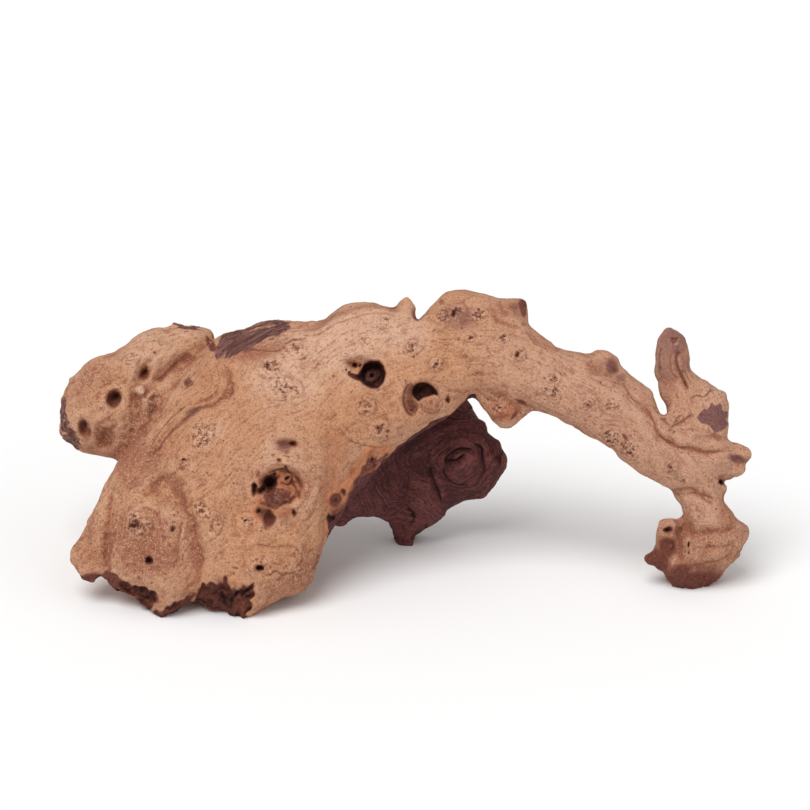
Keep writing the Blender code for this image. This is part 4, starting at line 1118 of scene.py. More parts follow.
# %% The amber knot
AMBER_KNOT, AMBER_RADII, AMBER_DEPTH = (280, 488), (14.0, 12.4), 4.2
AMBER_RIM = (
    (262, 470), (272, 465.5), (284, 465), (297, 472), (304, 484), (304, 499), (295, 510), (283, 514),
)
OUTER_RIM_SCALE = (1.2, 1.18)
AMBER_LUMP, LUMP_RADII, LUMP_HEIGHT = (277, 496.5), (9.4, 5.2), 3.6
AMBER_CREASES = (
    (((262, 503), (276, 507), (290, 501), (296, 491), (292, 481)), 1.2),
    (((285, 467), (291, 475), (289, 483), (281, 482)), 0.9),
    (((270, 471), (281, 469), (293, 474), (300, 485), (300, 497)), 1.1),
)
AMBER_HOLES = (
    (268, 482, 5.2, 5.2, -30, 6.0), (254, 489, 1.3, 4.0, 0, 4.0), (260.5, 491, 2.8, 3.0, 0, 3.4),
    (287, 477.5, 2.6, 0.8, 35, 1.4), (293, 512, 1.6, 2.2, 25, 1.8), (259, 510.5, 1.5, 2.1, -20, 1.8),
    (274, 474, 1.4, 1.8, -60, 1.4),
)

# The bowl, craggy inside.
close, out = spot(AMBER_KNOT, AMBER_RADII, 0, shake=0.12)
press(close, AMBER_DEPTH * fall(0.45, 1.05, out))
dye("amber", close, 0.95 * fall(0.72, 1.1, out))
dye("umber", close, 0.7 * bell(out - 0.8, 0.16) * ramp(-0.4, 0.4, lumps(points[close], 6 * MM, 66)))
dye("umber", close, 0.6 * fall(0.8, 1, out) * ramp(0.2, 0.6, lumps(points[close], 3 * MM, 60)))
press(close, 1.3 * fall(0.7, 1, out) * rough(points[close], 3.4 * MM, 67, 2))

# The raised rim, and a broken line outside it.
close, beside, place = along_route(AMBER_RIM, 5)
beside += 0.9 * MM * lumps(points[close], 7 * MM, 68)
press(close, -1.0 * bell(beside, 1.6 * MM) * ramp(0, 0.2, place))
dye("red", close, 0.8 * bell(beside, 1.1 * MM) * ramp(0, 0.2, place))
outer_rim = AMBER_KNOT + np.array(OUTER_RIM_SCALE) * (np.array(AMBER_RIM[1:7]) - AMBER_KNOT)
close, beside, place = along_route(outer_rim, 4)
beside += 1.2 * MM * lumps(points[close], 9 * MM, 69)
broken = ramp(0, 0.3, place) * fall(0.7, 1, place) * ramp(-0.7, 0.4, lumps(points[close], 12 * MM, 70))
press(close, 0.5 * bell(beside, 0.7 * MM) * broken)
dye("red", close, 0.6 * bell(beside, 0.6 * MM) * broken)

# The plum-coloured lump, with a scaly skin.
close, out = spot(AMBER_LUMP, LUMP_RADII, 8, shake=0.12)
dome = np.sqrt(np.clip(1.1 - out**2, 0, 1))
scales = rough(points[close], 2.8 * MM, 63, 2)
press(close, -LUMP_HEIGHT * dome + 0.8 * dome * scales)
dye("umber", close, (0.9 + 0.8 * scales) * fall(0.8, 1.1, out))
dye("plum", close, 0.85 * fall(0.6, 1.1, out))
stain["amber"][close] *= 1 - 0.8 * fall(0.8, 1.1, out) * front[close]
for route, width in AMBER_CREASES:
    close, beside, place = along_route(route, 5)
    beside += 1.3 * MM * rough(points[close], 4.5 * MM, 79, 2)
    press(close, 1.2 * bell(beside, width * MM))
    dye("umber", close, (0.75 + 0.6 * lumps(points[close], 5 * MM, 80)) * bell(beside, width * MM))
for right, down, long, short, turn, deep in AMBER_HOLES:
    pit((right, down), (long, short), turn, deep, 0.45, 1.0, "front")

# The orange wood under the knot, and the crevice in it.
close, out = spot((266, 508), (9.0, 9.5), 10, shake=0.4)
dye("amber", close, fall(0.5, 1.4, out))
dye("umber", close, (0.45 + 0.5 * rough(points[close], 5 * MM, 82, 2)) * fall(0.4, 1.2, out))
blot("amber", (285, 512), (6.5, 3.6), 10, 0.75, 0.5, 1.4)
close, out = spot((268.5, 516), (4.0, 6.6), 6, shake=0.35)
press(close, 2.8 * fall(0.3, 1.1, out) + 0.9 * fall(0.5, 1, out) * rough(points[close], 3 * MM, 62, 2))
# The crevice's bottom is painted darker, as painted shade.
dye("hollow", close, 0.35 * fall(0.2, 0.8, out))
dye("umber", close, 0.9 * fall(0.4, 1.3, out))
print(f"amber knot {2 * AMBER_RADII[0]:.0f} mm wide")

# %% [markdown]
# Broken wood looks torn: dark, deeper than the skin around it, and full of short splinters along the grain.
# There is a broken hollow under the crown, jagged at its right, and a splintered edge at its left end. In
# both of them a few places are nearly black. A strip of old bark still sits on the crown's shoulder, a
# little proud of the wood. All of these are patches with a roughness of their own.

# %% Broken edges and bark
BROKEN = {
    "under_crown": (((196, 596), (201, 589), (203, 584.5), (206, 588), (211, 582), (217, 583), (218, 576),
        (222, 582), (225, 575), (228, 583), (231, 588), (235, 583), (238, 590), (243, 585), (247, 589),
        (254, 582), (251, 589), (254, 595), (249, 600), (251, 607), (246, 613), (245, 622), (190, 622)),
        3.0, 2.0, 0.46),
    "splinters": (((118, 581), (126, 583), (135, 586), (146, 588), (154, 594), (157, 603), (150, 612),
        (142, 610), (134, 598), (124, 592)), 3.0, 2.0, 0.4),
    "block": (((107, 573), (113, 573), (120, 579), (127, 585), (133, 592), (128, 598), (116, 592),
        (106, 585)), 1.4, 1.2, 0.12),
    "tip_rim": (((150, 612), (156, 608), (163, 611), (174, 604), (188, 596), (196, 594), (188, 606),
        (170, 618), (152, 622)), 0.8, 0.8, 0.5),
    "toe_edge": (((74, 574), (84, 578), (96, 574), (107, 570), (110, 580), (94, 592), (76, 588)), 0.4, 0.5,
        0.05),
}
BARK = {
    "shoulder": ((216, 361), (216, 347), (227, 329), (244, 322), (258, 315), (276, 312), (293, 316),
        (288, 329), (270, 340), (256, 348), (242, 352), (229, 357)),
    "burl_edge": ((56, 394), (63, 396), (66, 412), (68, 428), (78, 440), (78, 452), (54, 448)),
    "spike": ((170, 318), (176, 324), (184, 329), (194, 331), (204, 332), (194, 322), (176, 314)),
}
BARK_RISE, BARK_STREAK = 0.8, np.array([16, 2.4, 2.4]) * MM
TEETH, TEETH_HEIGHT = 3.2 * MM, 1.5
SPLINTER, SHRED = np.array([11, 2.2, 2.2]) * MM, np.array([9, 1.8, 1.8]) * MM
BLACKEST = (((240, 594), (8.0, 5.0)), ((229, 600), (7.0, 5.0)), ((148, 596), (5.6, 4.4)))
ROUND_EDGE = (10 * MM, 20 * MM)

for outline, deep, torn, dark in BROKEN.values():
    close, share = patch(outline, 1.2, side="all", shake=2.4)
    level = depth[close] - level_under(np.mean(outline, 0), "front")
    dye("umber", close, 0.9 * share * fall(*ROUND_EDGE, level), "all")
    close, share = patch(outline, 1.0, shake=1.8)
    splinter = lumps(grain[close] / SPLINTER, 1, 61)
    press(close, share * (deep + torn * (splinter + rough(points[close], 5 * MM, 62))))
    upright = picture[close, :1] * PIXEL * RIGHTWARD + points[close] * 0.25
    teeth = lumps(upright, TEETH, 65)
    points[close] += (TEETH_HEIGHT * MM * share * teeth)[:, None] * UPWARD
    dye("hollow", close, dark * share * (0.8 + 0.6 * lumps(points[close], 4 * MM, 63)))
    dye("umber", close, share * (0.85 + 0.4 * splinter))
    dye("plum", close, 0.5 * share * (0.6 + rough(points[close], 6 * MM, 68, 2)))
    dye("red", close, np.minimum(1, 1.6 * share))
for middle, radii in BLACKEST:
    close, out = spot(middle, radii, shake=0.6)
    shreds = 0.8 + 0.7 * lumps(grain[close] / SHRED, 1, 69)
    dye("hollow", close, 0.9 * shreds * fall(0.2, 1.3, out))
for outline in BARK.values():
    close, share = patch(outline, 1.0, shake=2.6)
    share = np.clip(share * (1.2 + 1.2 * lumps(grain[close] / BARK_STREAK, 1, 66)), 0, 1)
    streak = np.abs(lumps(grain[close] / BARK_STREAK, 1, 64))
    swell(close, share * (BARK_RISE - 1.3 * streak))
    dye("bark", close, share)
    # Dark lines in the bark's cracks are painted shade.
    dye("hollow", close, 0.4 * share * bell(streak, 0.12))
print(f"{len(BROKEN)} broken edges, {len(BARK)} strips of bark")

# %% [markdown]
# The leg is bare heartwood, almost black, and its years of growth show as rings around the old knot in it.
# The rings are a hair of relief and a faint change of colour. Where the heartwood runs under the crown, the
# sapwood next to it is orange, ragged and knobby, and along the crown's rim the heartwood gets a painted
# shadow.

# %% Heartwood
HEART_OUTLINE = (
    (322, 556), (329, 530), (327, 519), (335, 515), (345, 508), (350, 494), (359, 476), (370, 472),
    (380, 465), (384, 459), (391, 459), (396, 448), (414, 434), (432, 421), (452, 412), (464, 401),
    (468, 394), (474, 392), (484, 415), (500, 430), (520, 450), (520, 500), (440, 570), (395, 570),
)
ORANGE_RIM = (
    (336, 536), (331, 526), (338, 512), (347, 500), (352, 486), (360, 471), (374, 464), (386, 455),
)
RIM_SHADOW_ROUTE = (
    (346, 520), (354, 503), (364, 485), (376, 476), (390, 465), (402, 454), (419, 440), (437, 427),
    (456, 418), (468, 406),
)
HEART_FROM, HEART_TO = 33 * MM, 41 * MM
YEAR, YEAR_RELIEF = 3.4, 0.13
AMBER_FAN = ((330, 425), (350, 440), (356, 470), (345, 505), (326, 535), (318, 500), (322, 460))
SAPWOOD_KNOBS = (
    (371, 462, 5.6, 6.0, -30, 2.2), (335, 500, 4.4, 6.4, -25, 1.6), (343, 491, 2.6, 3.2, 10, 1.0),
    (341, 513, 3.4, 3.0, 0, 1.2),
)

leg_knot = surface_under(FRONT_KNOTS["leg_big"][0], front)
leg_line = spines["leg"][0]
leg_gap = np.linalg.norm(nearest_on(leg_line, points)[1], axis=1)
leg_gap += 4 * MM * rough(points, 16 * MM, 71)
from_leg = fall(HEART_FROM, HEART_TO, leg_gap)
stain["heart"] = np.maximum((1 - front) * from_leg, limb == "heartwood_leg")
close, share = patch(HEART_OUTLINE, 0.8, side="all", shake=1.3)
dye("heart", close, share, "all")

years = np.linalg.norm(points - leg_knot, axis=1) / MM * (1 + 0.4 * rough(points, 26 * MM, 72, 2))
years += 3.2 * rough(points, 9 * MM, 73, 2)
heart = ramp(0.3, 0.8, stain["heart"])
ring = np.where(heart > 0.5, years, ring)
swirl = np.maximum(swirl, 0.85 * heart)
shown = heart * ramp(-0.3, 0.5, lumps(points, 18 * MM, 76)) + 0.6 * heart * bell(years, 12)
swell(everywhere, YEAR_RELIEF * shown * np.cos(years / YEAR * 2 * math.pi))
stain["amber"] = np.maximum(stain["amber"], (1 - front) * bell(leg_gap - 1.1 * HEART_TO, 5 * MM))
close, beside, place = along_route(ORANGE_RIM, 14)
ragged = bell(beside - 1.5 * MM + 3.5 * MM * rough(points[close], 6 * MM, 74, 2), 5 * MM)
press(close, 1.6 * ragged * rough(points[close], 4 * MM, 75, 2))
dye("amber", close, 0.9 * ragged)
dye("red", close, 0.8 * ragged)
dye("umber", close, 0.75 * ragged * ramp(-0.1, 0.5, rough(points[close], 6 * MM, 77, 2)))
dye("umber", close, 0.75 * bell(beside + 1.2 * MM + 2 * MM * rough(points[close], 7 * MM, 74, 2), 2 * MM))
# Painted shadow of the crown's rim on the heartwood under it.
close, beside, place = along_route(RIM_SHADOW_ROUTE, 9)
dye("hollow", close, 0.4 * bell(beside, 3.6 * MM) * ramp(0, 0.15, place) * fall(0.85, 1, place))
close, share = patch(AMBER_FAN, 5, shake=4)
dye("amber", close, 0.4 * share * (1 + 0.6 * rough(points[close], 9 * MM, 83, 2)))
dye("red", close, 0.35 * share)
for right, down, long, short, turn, height in SAPWOOD_KNOBS:
    close, out = spot((right, down), (long, short), turn, shake=0.5)
    press(close, -height * fall(0.2, 1.1, out) + 1.4 * fall(0.1, 0.5, out))
    dye("umber", close, 0.95 * fall(0.2, 1.1, out))
    # The knob's dipped middle is painted near black: a dark hole, and painted shade.
    dye("hollow", close, 0.5 * fall(0.05, 0.4, out))
    dye("amber", close, fall(0.8, 1.7, out))
print(f"heartwood on {np.mean(stain['heart'] > 0.5):.0%} of the skin")

# %% [markdown]
# The last stains are broad: the finger's tip and the spurs are plum-brown, the hooked foot is red
# underneath, and the arch and the crown's top are pale. The underside and the low parts get a deeper tan,
# which is partly the wood's own colour and partly painted shade, and the wood grows darker towards the
# floor as painted shade. Wood that turns its side to the eye is painted redder, as painted shade along the
# outline. Each row is where the stain is, how strong it is, and how soft or wide it is. They are grouped by
# the stain and by whether the back gets it too.

# %% Broad stains
STAIN_SPOTS = {
    ("amber", "front"): (
        (506, 415, 13, 5.4, 8, 0.7, 0.2), (517, 409, 3.4, 4.0, 0, 0.6, 0.3),
        (346, 508, 4.6, 7.6, -20, 0.9, 0.4), (372, 462, 5.2, 5.6, 0, 0.85, 0.5),
        (386, 455, 5.6, 2.6, 15, 0.75, 0.4), (232, 581, 7, 2.6, 0, 0.55, 0.3),
        (253, 600, 2.0, 6, -10, 0.6, 0.4),
    ),
    # A deeper tan: partly the wood's own colour, partly painted shade on low and under parts.
    ("deep", "both"): (
        (705, 550, 24, 14, 0, 0.6, 0.1),
    ),
    ("deep", "front"): (
        (110, 435, 22, 14, 0, 0.8, 0.1), (305, 575, 26, 20, 0, 0.9, 0.1), (140, 458, 24, 26, 0, 0.8, 0.1),
        (145, 545, 34, 30, 0, 1.0, 0.1), (95, 540, 18, 30, 20, 0.7, 0.1), (320, 480, 20, 26, 0, 0.5, 0.1),
        (230, 535, 30, 26, 0, 0.35, 0.1), (95, 385, 26, 20, 0, 0.65, 0.1), (432, 405, 9, 8, 0, 0.7, 0.2),
        (505, 414, 14, 8, 0, 0.8, 0.2), (455, 318, 16, 9, 0, 0.4, 0.1), (600, 440, 30, 8, -35, 0.4, 0.1),
        (560, 412, 26, 6, -22, 0.35, 0.1),
    ),
    ("pale", "both"): (
        (330, 350, 42, 24, 20, 0.75, 0.1), (380, 335, 34, 16, 0, 0.8, 0.1),
        (150, 345, 22, 12, 20, 0.5, 0.1), (715, 395, 12, 16, 0, 0.7, 0.1), (700, 510, 12, 14, 0, 0.35, 0.1),
    ),
    ("pale", "front"): (
        (164, 512, 10, 4.6, -38, 0.7, 0.2), (127, 527, 3, 4.4, 0, 0.6, 0.2),
        (140, 391, 4.4, 3.6, 0, 0.9, 0.3), (141, 410, 2.6, 4.6, 0, 0.7, 0.2), (268, 452, 7, 5, 0, 0.5, 0.1),
        (457, 327, 11, 4.5, 0, 0.5, 0.2), (265, 375, 22, 20, 0, 0.6, 0.1), (205, 430, 15, 13, 0, 0.6, 0.1),
        (150, 520, 26, 26, 0, 0.3, 0.1),
    ),
    ("plum", "both"): (
        (676, 338, 12, 13, 0, 0.62, 0.5), (668, 362, 8, 14, 0, 0.5, 0.3), (686, 362, 5, 13, 0, 0.45, 0.3),
        (612, 368, 4.6, 6.4, 0, 0.7, 0.4), (620, 378, 4, 3, -30, 0.6, 0.4), (519, 311, 5, 8, 0, 0.4, 0.4),
    ),
    ("plum", "front"): (
        (737, 459, 6, 2.6, -8, 0.75, 0.5), (194, 411, 6.2, 2.3, 22, 0.6, 0.4),
        (284, 446, 5.5, 4.2, 0, 0.6, 0.4), (150, 406, 4, 5, 0, 0.35, 0.3), (458, 316, 16, 9, 0, 0.52, 0.1),
    ),
    ("red", "both"): (
        (670, 372, 8, 20, 0, 0.5, 0.2), (686, 370, 7, 18, 0, 0.45, 0.2), (715, 548, 24, 15, 0, 0.45, 0.1),
        (700, 512, 12, 12, 0, 0.25, 0.1), (726, 513, 6, 11, 0, 0.8, 0.2), (688, 521, 3.4, 10, 0, 0.65, 0.2),
        (508, 309, 9, 7, 0, 0.6, 0.3), (505, 412, 13, 6, 0, 0.75, 0.3), (725, 520, 9, 9, 0, 0.4, 0.2),
        (600, 371, 9, 6, -20, 0.4, 0.3), (690, 400, 8, 9, 0, 0.3, 0.2), (85, 355, 10, 6, 40, 0.3, 0.2),
        (712, 533, 24, 5, 0, 0.6, 0.2), (690, 580, 34, 12, 0, 0.95, 0.35), (655, 558, 11, 10, 0, 0.85, 0.3),
        (668, 540, 9, 12, 0, 0.6, 0.3), (712, 534, 20, 7, 0, 0.5, 0.2), (712, 550, 18, 12, 0, 0.35, 0.2),
    ),
    ("red", "front"): (
        (92, 540, 14, 24, 20, 0.25, 0.1), (138, 462, 14, 18, 0, 0.25, 0.1), (455, 316, 16, 8, 0, 0.5, 0.1),
        (594, 371, 6.4, 4.6, -25, 0.85, 0.3), (198, 559, 4, 9, 0, 0.85, 0.3),
        (232, 358, 9, 4, 20, 0.6, 0.3), (107, 440, 9, 11, -8, 0.35, 0.0), (334, 437, 7, 6, -40, 0.45, 0.2),
        (296, 585, 8, 5, -20, 0.6, 0.3), (500, 412, 15, 8, 0, 0.4, 0.2), (130, 455, 14, 12, 40, 0.75, 0.2),
        (120, 470, 9, 12, 0, 0.3, 0.2), (95, 560, 14, 10, 0, 0.45, 0.2), (185, 570, 11, 18, 0, 0.4, 0.2),
        (160, 552, 20, 20, 0, 0.6, 0.1), (140, 585, 16, 6, 0, 0.4, 0.2), (320, 560, 6, 14, -20, 0.5, 0.2),
        (285, 590, 20, 5, 15, 0.5, 0.2), (205, 378, 8, 14, -20, 0.35, 0.2), (140, 404, 10, 20, 0, 0.3, 0.2),
        (260, 351, 18, 4, 12, 0.8, 0.3), (220, 579, 5, 3, 0, 0.6, 0.3), (600, 370, 10, 5, -25, 0.45, 0.3),
        (94, 580, 9, 4, 0, 0.55, 0.3), (150, 604, 12, 5, 0, 0.6, 0.3),
    ),
    ("umber", "both"): (
        (690, 586, 30, 9, 0, 1.0, 0.45), (654, 561, 9, 7, 0, 1.0, 0.4), (668, 546, 6, 7, 0, 0.9, 0.3),
        (680, 572, 9, 6, 20, 0.8, 0.3), (516, 309, 4.5, 6, 0, 0.35, 0.3), (523, 309, 2.4, 8, 0, 0.9, 0.4),
        (671, 360, 5, 10, 0, 0.22, 0.1), (442, 303, 2.2, 2.6, 0, 0.6, 0.3),
        (613, 366, 3.4, 5.4, 20, 0.6, 0.4),
    ),
    ("umber", "front"): (
        (503, 416, 9, 2.6, 10, 0.6, 0.3), (104, 441, 5, 9, 12, 0.25, 0.2),
        (522, 402, 3.4, 1.3, -25, 0.9, 0.4), (514, 415, 1.6, 4.4, -40, 0.8, 0.3),
        (84, 429, 4, 7, 6, 0.5, 0.3), (212, 345, 2.2, 6, 30, 0.9, 0.5), (89, 577, 8, 2.4, 10, 0.7, 0.4),
        (330, 520, 3.0, 4.0, 0, 0.8, 0.4), (737, 460, 4.6, 1.8, -8, 0.45, 0.3),
        (684, 546, 3, 13, 0, 0.35, 0.2), (700, 570, 20, 5, 8, 0.4, 0.2), (678, 528, 5, 5, 0, 0.4, 0.2),
    ),
}
STAIN_LINES = {
    ("amber", "front"): (
        (((288, 470), (297, 478), (300, 490), (297, 503)), 1.6, 0.8),
    ),
    # A deeper tan under the arch: partly the wood's own colour, partly painted shade.
    ("deep", "front"): (
        (((440, 336), (470, 360), (500, 402), (540, 412)), 4, 0.4),
    ),
    ("pale", "both"): (
        (((430, 335), (500, 352), (560, 380), (620, 412), (670, 452), (690, 480)), 12, 0.4),
    ),
    ("pale", "front"): (
        (((172, 335), (192, 332), (206, 338)), 6, 0.5),
    ),
    ("plum", "both"): (
        (((661, 345), (659, 358), (661, 372)), 1.6, 0.8),
    ),
    ("red", "both"): (
        (((660, 372), (667, 378), (676, 379), (684, 374)), 2.2, 0.75),
    ),
    ("red", "front"): (
        (((335, 317), (322, 318), (310, 322), (296, 331)), 3.2, 0.5),
        (((405, 303), (398, 304), (388, 310)), 2.0, 0.45),
        (((485, 297), (500, 296), (520, 300)), 3.0, 0.45),
        (((524, 330), (540, 343), (560, 352)), 2.4, 0.6),
        (((620, 380), (634, 388), (646, 402), (655, 415)), 2.0, 0.45),
        (((318, 555), (330, 540), (334, 530)), 2.4, 0.6),
        (((735, 455), (742, 462), (735, 470)), 2.0, 0.4),
        (((296, 331), (318, 326), (330, 318), (352, 309), (380, 306), (404, 312)), 2.6, 0.75),
        (((300, 338), (322, 333), (338, 324), (360, 316), (384, 314), (400, 318)), 0.7, 0.6),
        (((214, 360), (219, 375), (218, 389), (208, 399), (194, 405)), 0.8, 0.75),
        (((207, 364), (212, 377), (210, 389), (200, 397)), 0.7, 0.6),
        (((223, 360), (227, 376), (226, 392), (216, 402)), 1.0, 0.75),
        (((178, 418), (164, 434), (152, 452), (146, 466)), 1.2, 0.7),
    ),
    ("umber", "front"): (
        (((318, 553), (317, 562), (313, 570)), 1.4, 0.6),
        (((198, 409), (182, 421), (167, 437), (156, 456)), 0.7, 0.6),
        (((189, 404), (171, 418), (158, 434), (149, 452)), 0.7, 0.55),
        (((152, 394), (154, 401), (152, 408)), 2.0, 0.6),
        (((683, 350), (677, 356), (678, 367), (684, 380), (689, 391)), 1.1, 0.75),
        (((671, 352), (670, 362), (672, 372), (679, 379)), 1.0, 0.5),
    ),
}
PLUM_PATCH = (
    (699, 413), (703, 409), (708, 409), (711, 403), (715, 407), (720, 404), (722, 410), (728, 413),
    (726, 420), (729, 424), (722, 430), (713, 432), (709, 426), (702, 424), (697, 418),
)
WHERE = {"front": ("front",), "both": ("front", "back")}
LOW_FROM, LOW_TO, LOW_SHADE = 50 * MM, 8 * MM, 0.55
OUTLINE_FACING, OUTLINE_SHADE_RED = (0.1, 0.62), 0.6
BRUSHED_FROM, BRUSHED_FULL = 430, 560

for (name, where), rows in STAIN_SPOTS.items():
    for (right, down, long, short, turn, strength, soft), side in itertools.product(rows, WHERE[where]):
        blot(name, (right, down), (long, short), turn, strength, soft, side=side)
for (name, where), rows in STAIN_LINES.items():
    for (route, width, strength), side in itertools.product(rows, WHERE[where]):
        close, beside, place = along_route(route, 2.5 * width, side)
        dye(name, close, strength * tapered(place, TAPER) * bell(beside, width * MM), side)
close, share = patch(PLUM_PATCH, 0.7, shake=1.3)
dye("plum", close, share)
swell(close, -0.25 * share)
# Painted shade: wood that turns its side to the eye is painted red-brown, darkest at the outline.
outline_shade = fall(*OUTLINE_FACING, np.abs(facing_eye(points, normals)))
uneven = 0.75 + 0.6 * rough(points, 15 * MM, 91, 2)
stain["red"] = np.maximum(stain["red"], OUTLINE_SHADE_RED * outline_shade * uneven)
# Painted shade: the deep tan grows towards the floor, so the wood is darker towards the bottom.
stain["deep"] = np.maximum(stain["deep"], LOW_SHADE * fall(LOW_TO, LOW_FROM, points[:, 2]))
brushed = ramp(BRUSHED_FROM, BRUSHED_FULL, picture[:, 0])
print({name: f"{np.mean(values > 0.5):.0%}" for name, values in stain.items()})

# %% [markdown]
# Knots are not smooth inside. Sand pits them, so where the wood is speckled the skin gets small sharp
# dents. The low and the deep-coloured parts are craggy all over. A small pale nub stands below the burl,
# and a ridge runs down from it. The root stands on four small worn flats, so nothing may reach below the
# floor.

# %% Speckled dents and worn feet
DENT_SIZE, DENT_DEPTH = 2.1 * MM, 0.55
CRAG_SIZE, CRAG_HEIGHT = 3.5 * MM, 0.75
NUB, NUB_RADII, NUB_HEIGHT = (140, 391), (4.4, 3.4), 3.4
NUB_RIDGE, RIDGE_HEIGHT, RIDGE_HALF_WIDTH = ((141, 393), (145, 402), (146, 412), (148, 424)), 2.3, 1.8 * MM
WORN_BELOW = 0.7 * MM

dents = ramp(0.15, 0.6, lumps(points, DENT_SIZE, 81)) * stain["speck"]
swell(everywhere, -DENT_DEPTH * dents)
crags = rough(points, CRAG_SIZE, 83, 2) - np.abs(lumps(points, CRAG_SIZE, 85))
swell(everywhere, (CRAG_HEIGHT * stain["deep"] + 0.12) * (1 - stain["heart"]) * crags)
close, out = spot(NUB, NUB_RADII, 0, shake=0.2)
swell(close, NUB_HEIGHT * fall(0.1, 1.2, out))
close, beside, place = along_route(NUB_RIDGE, 6)
swell(close, RIDGE_HEIGHT * bell(beside, RIDGE_HALF_WIDTH) * fall(0.5, 1, place))
points[:, 2] = np.where(points[:, 2] < WORN_BELOW, 0, points[:, 2])
set_points(skin, points)
print(f"{np.sum(points[:, 2] == 0)} points on the floor")

# %% [markdown]
# Ridges are made paler and hollows darker: partly wear, dust and old bark, partly painted light on the
# ridges and painted shade in the hollows. How far a point stands out of a smoothed copy of the skin says
# which it is, and the finish uses that everywhere.

# %% Ridges and hollows
FINE_STEPS, BROAD_STEPS = 8, 70
FINE_FULL, BROAD_FULL = 0.22 * MM, 1.3 * MM

ends, links = edges_of(skin)
normals = normals_of(skin)
smooth = points.copy()
standing = {}
for step in range(1, BROAD_STEPS + 1):
    smooth = relaxed(smooth, ends, links)
    if step in (FINE_STEPS, BROAD_STEPS):
        standing[step] = ((points - smooth) * normals).sum(1)
fine_shade_and_dust = np.clip(standing[FINE_STEPS] / FINE_FULL, -1, 1)
broad_shading_and_wear = np.clip(standing[BROAD_STEPS] / BROAD_FULL, -1, 1)
print(f"ridges on {np.mean(broad_shading_and_wear > 0.5):.0%}, hollows on {np.mean(broad_shading_and_wear < -0.5):.0%} of the skin")

# %% [markdown]
# The stains, the grain and the rings go onto the skin as attributes. They ride on the points, so the finish
# follows the shape and stays with it in every view.

# %% Attributes
numbers = {**stain, "ring": ring, "swirl": swirl, "brushed": brushed, "fine_shade_and_dust": fine_shade_and_dust, "broad_shading_and_wear": broad_shading_and_wear}
for name, values in numbers.items():
    layer = skin.data.attributes.new(name, "FLOAT", "POINT")
    layer.data.foreach_set("value", values.astype(np.float32))
for name, rows in {"grain": grain / MM, "whole_normal": normals}.items():
    layer = skin.data.attributes.new(name, "FLOAT_VECTOR", "POINT")
    layer.data.foreach_set("vector", rows.astype(np.float32).ravel())
print("attributes:", ", ".join([*numbers, "grain"]))

# %% [markdown]
# Now the skin is parted at the forks. The crown is large, so it becomes three pieces, cut across the trunk.
# Each cut rim is drawn 3 mm into the wood, filled and poked, which closes the piece out of sight. A piece
# keeps the normals of the whole skin, so that no seam shows where two pieces meet.

# %% Parting the skin
PIECES = {
    "burl": ("left_burl", "burl_wood"),
    "leg": ("heartwood_leg", "heartwood"),
    "arch": ("arching_limb", "arch_wood"),
    "finger": ("upright_finger", "finger_wood"),
    "foot": ("hooked_foot", "foot_wood"),
    "crown_toes": ("root_crown", "crown_wood"),
    "crown_face": ("root_crown", "crown_wood"),
    "crown_ridge": ("root_crown", "crown_wood"),
}
CROWN_ALONG = np.array([0.8, -0.6])
CROWN_FOOT = np.array([112, 566])
CROWN_CUTS = (125, 240)
RIM_DEPTH = 3 * MM

corners = rows_of(skin.data.loops, "vertex_index", 1, np.int32).reshape(-1, 4)
face_picture, face_depth = picture[corners].mean(1), depth[corners].mean(1)
face_limb = limb_of(face_picture, face_depth)
third = np.searchsorted(CROWN_CUTS, (face_picture - CROWN_FOOT) @ CROWN_ALONG)
piece_names = list(PIECES)
index = np.zeros(len(corners), np.int32)
for number, (node, _) in enumerate(PIECES.values()):
    index[face_limb == node] = number
index = np.where(face_limb == "root_crown", piece_names.index("crown_toes") + third, index)

for name in piece_names:
    skin.data.materials.append(bpy.data.materials.new(name))
skin.data.polygons.foreach_set("material_index", index.astype(np.int32))
only(skin)
bpy.ops.object.mode_set(mode="EDIT")
bpy.ops.mesh.separate(type="MATERIAL")
bpy.ops.object.mode_set(mode="OBJECT")
pieces = {}
for obj in list(bpy.context.selected_objects):
    name = obj.data.materials[0].name
    obj.name = name
    pieces[name] = obj


def whole_normals(piece):
    """The normals that the points had on the whole skin."""
    return rows_of(piece.data.attributes["whole_normal"].data, "vector", 3)


def close_rims(piece):
    """Draws each open rim into the wood, fills it and pokes the filling to its middle."""
    only(piece)
    bpy.ops.object.mode_set(mode="EDIT")
    bpy.ops.mesh.select_mode(type="EDGE")
    bpy.ops.mesh.select_all(action="DESELECT")
    bpy.ops.mesh.select_non_manifold(extend=False)
    bpy.ops.mesh.extrude_region()
    bpy.ops.object.mode_set(mode="OBJECT")
    rim = rows_of(piece.data.vertices, "select", 1, bool)[:, 0]
    drawn_in = points_of(piece)
    drawn_in[rim] -= RIM_DEPTH * whole_normals(piece)[rim]
    set_points(piece, drawn_in)
    bpy.ops.object.mode_set(mode="EDIT")
    bpy.ops.mesh.fill_holes(sides=0)
    bpy.ops.mesh.poke()
    bpy.ops.object.mode_set(mode="OBJECT")


def keep_whole_normals(piece):
    """Gives every point the normal that it had on the whole skin."""
    own, whole = normals_of(piece), whole_normals(piece)
    lost = np.linalg.norm(whole, axis=1) < 0.5
    whole[lost] = own[lost]
    piece.data.attributes.remove(piece.data.attributes["whole_normal"])
    piece.data.normals_split_custom_set_from_vertices(whole.tolist())


for name, piece in pieces.items():
    close_rims(piece)
    keep_whole_normals(piece)
    triangles = sum(len(face.vertices) - 2 for face in piece.data.polygons)
    print(f"{name}: {triangles} triangles")

# %% [markdown]
# A finish is a tree of shader nodes, and shader maths reads best as plain expressions. This class wraps a
# socket, so that a sum or a product of two values adds the Math node for it. Colours are mixed and not
# added, and every other node comes from one method.

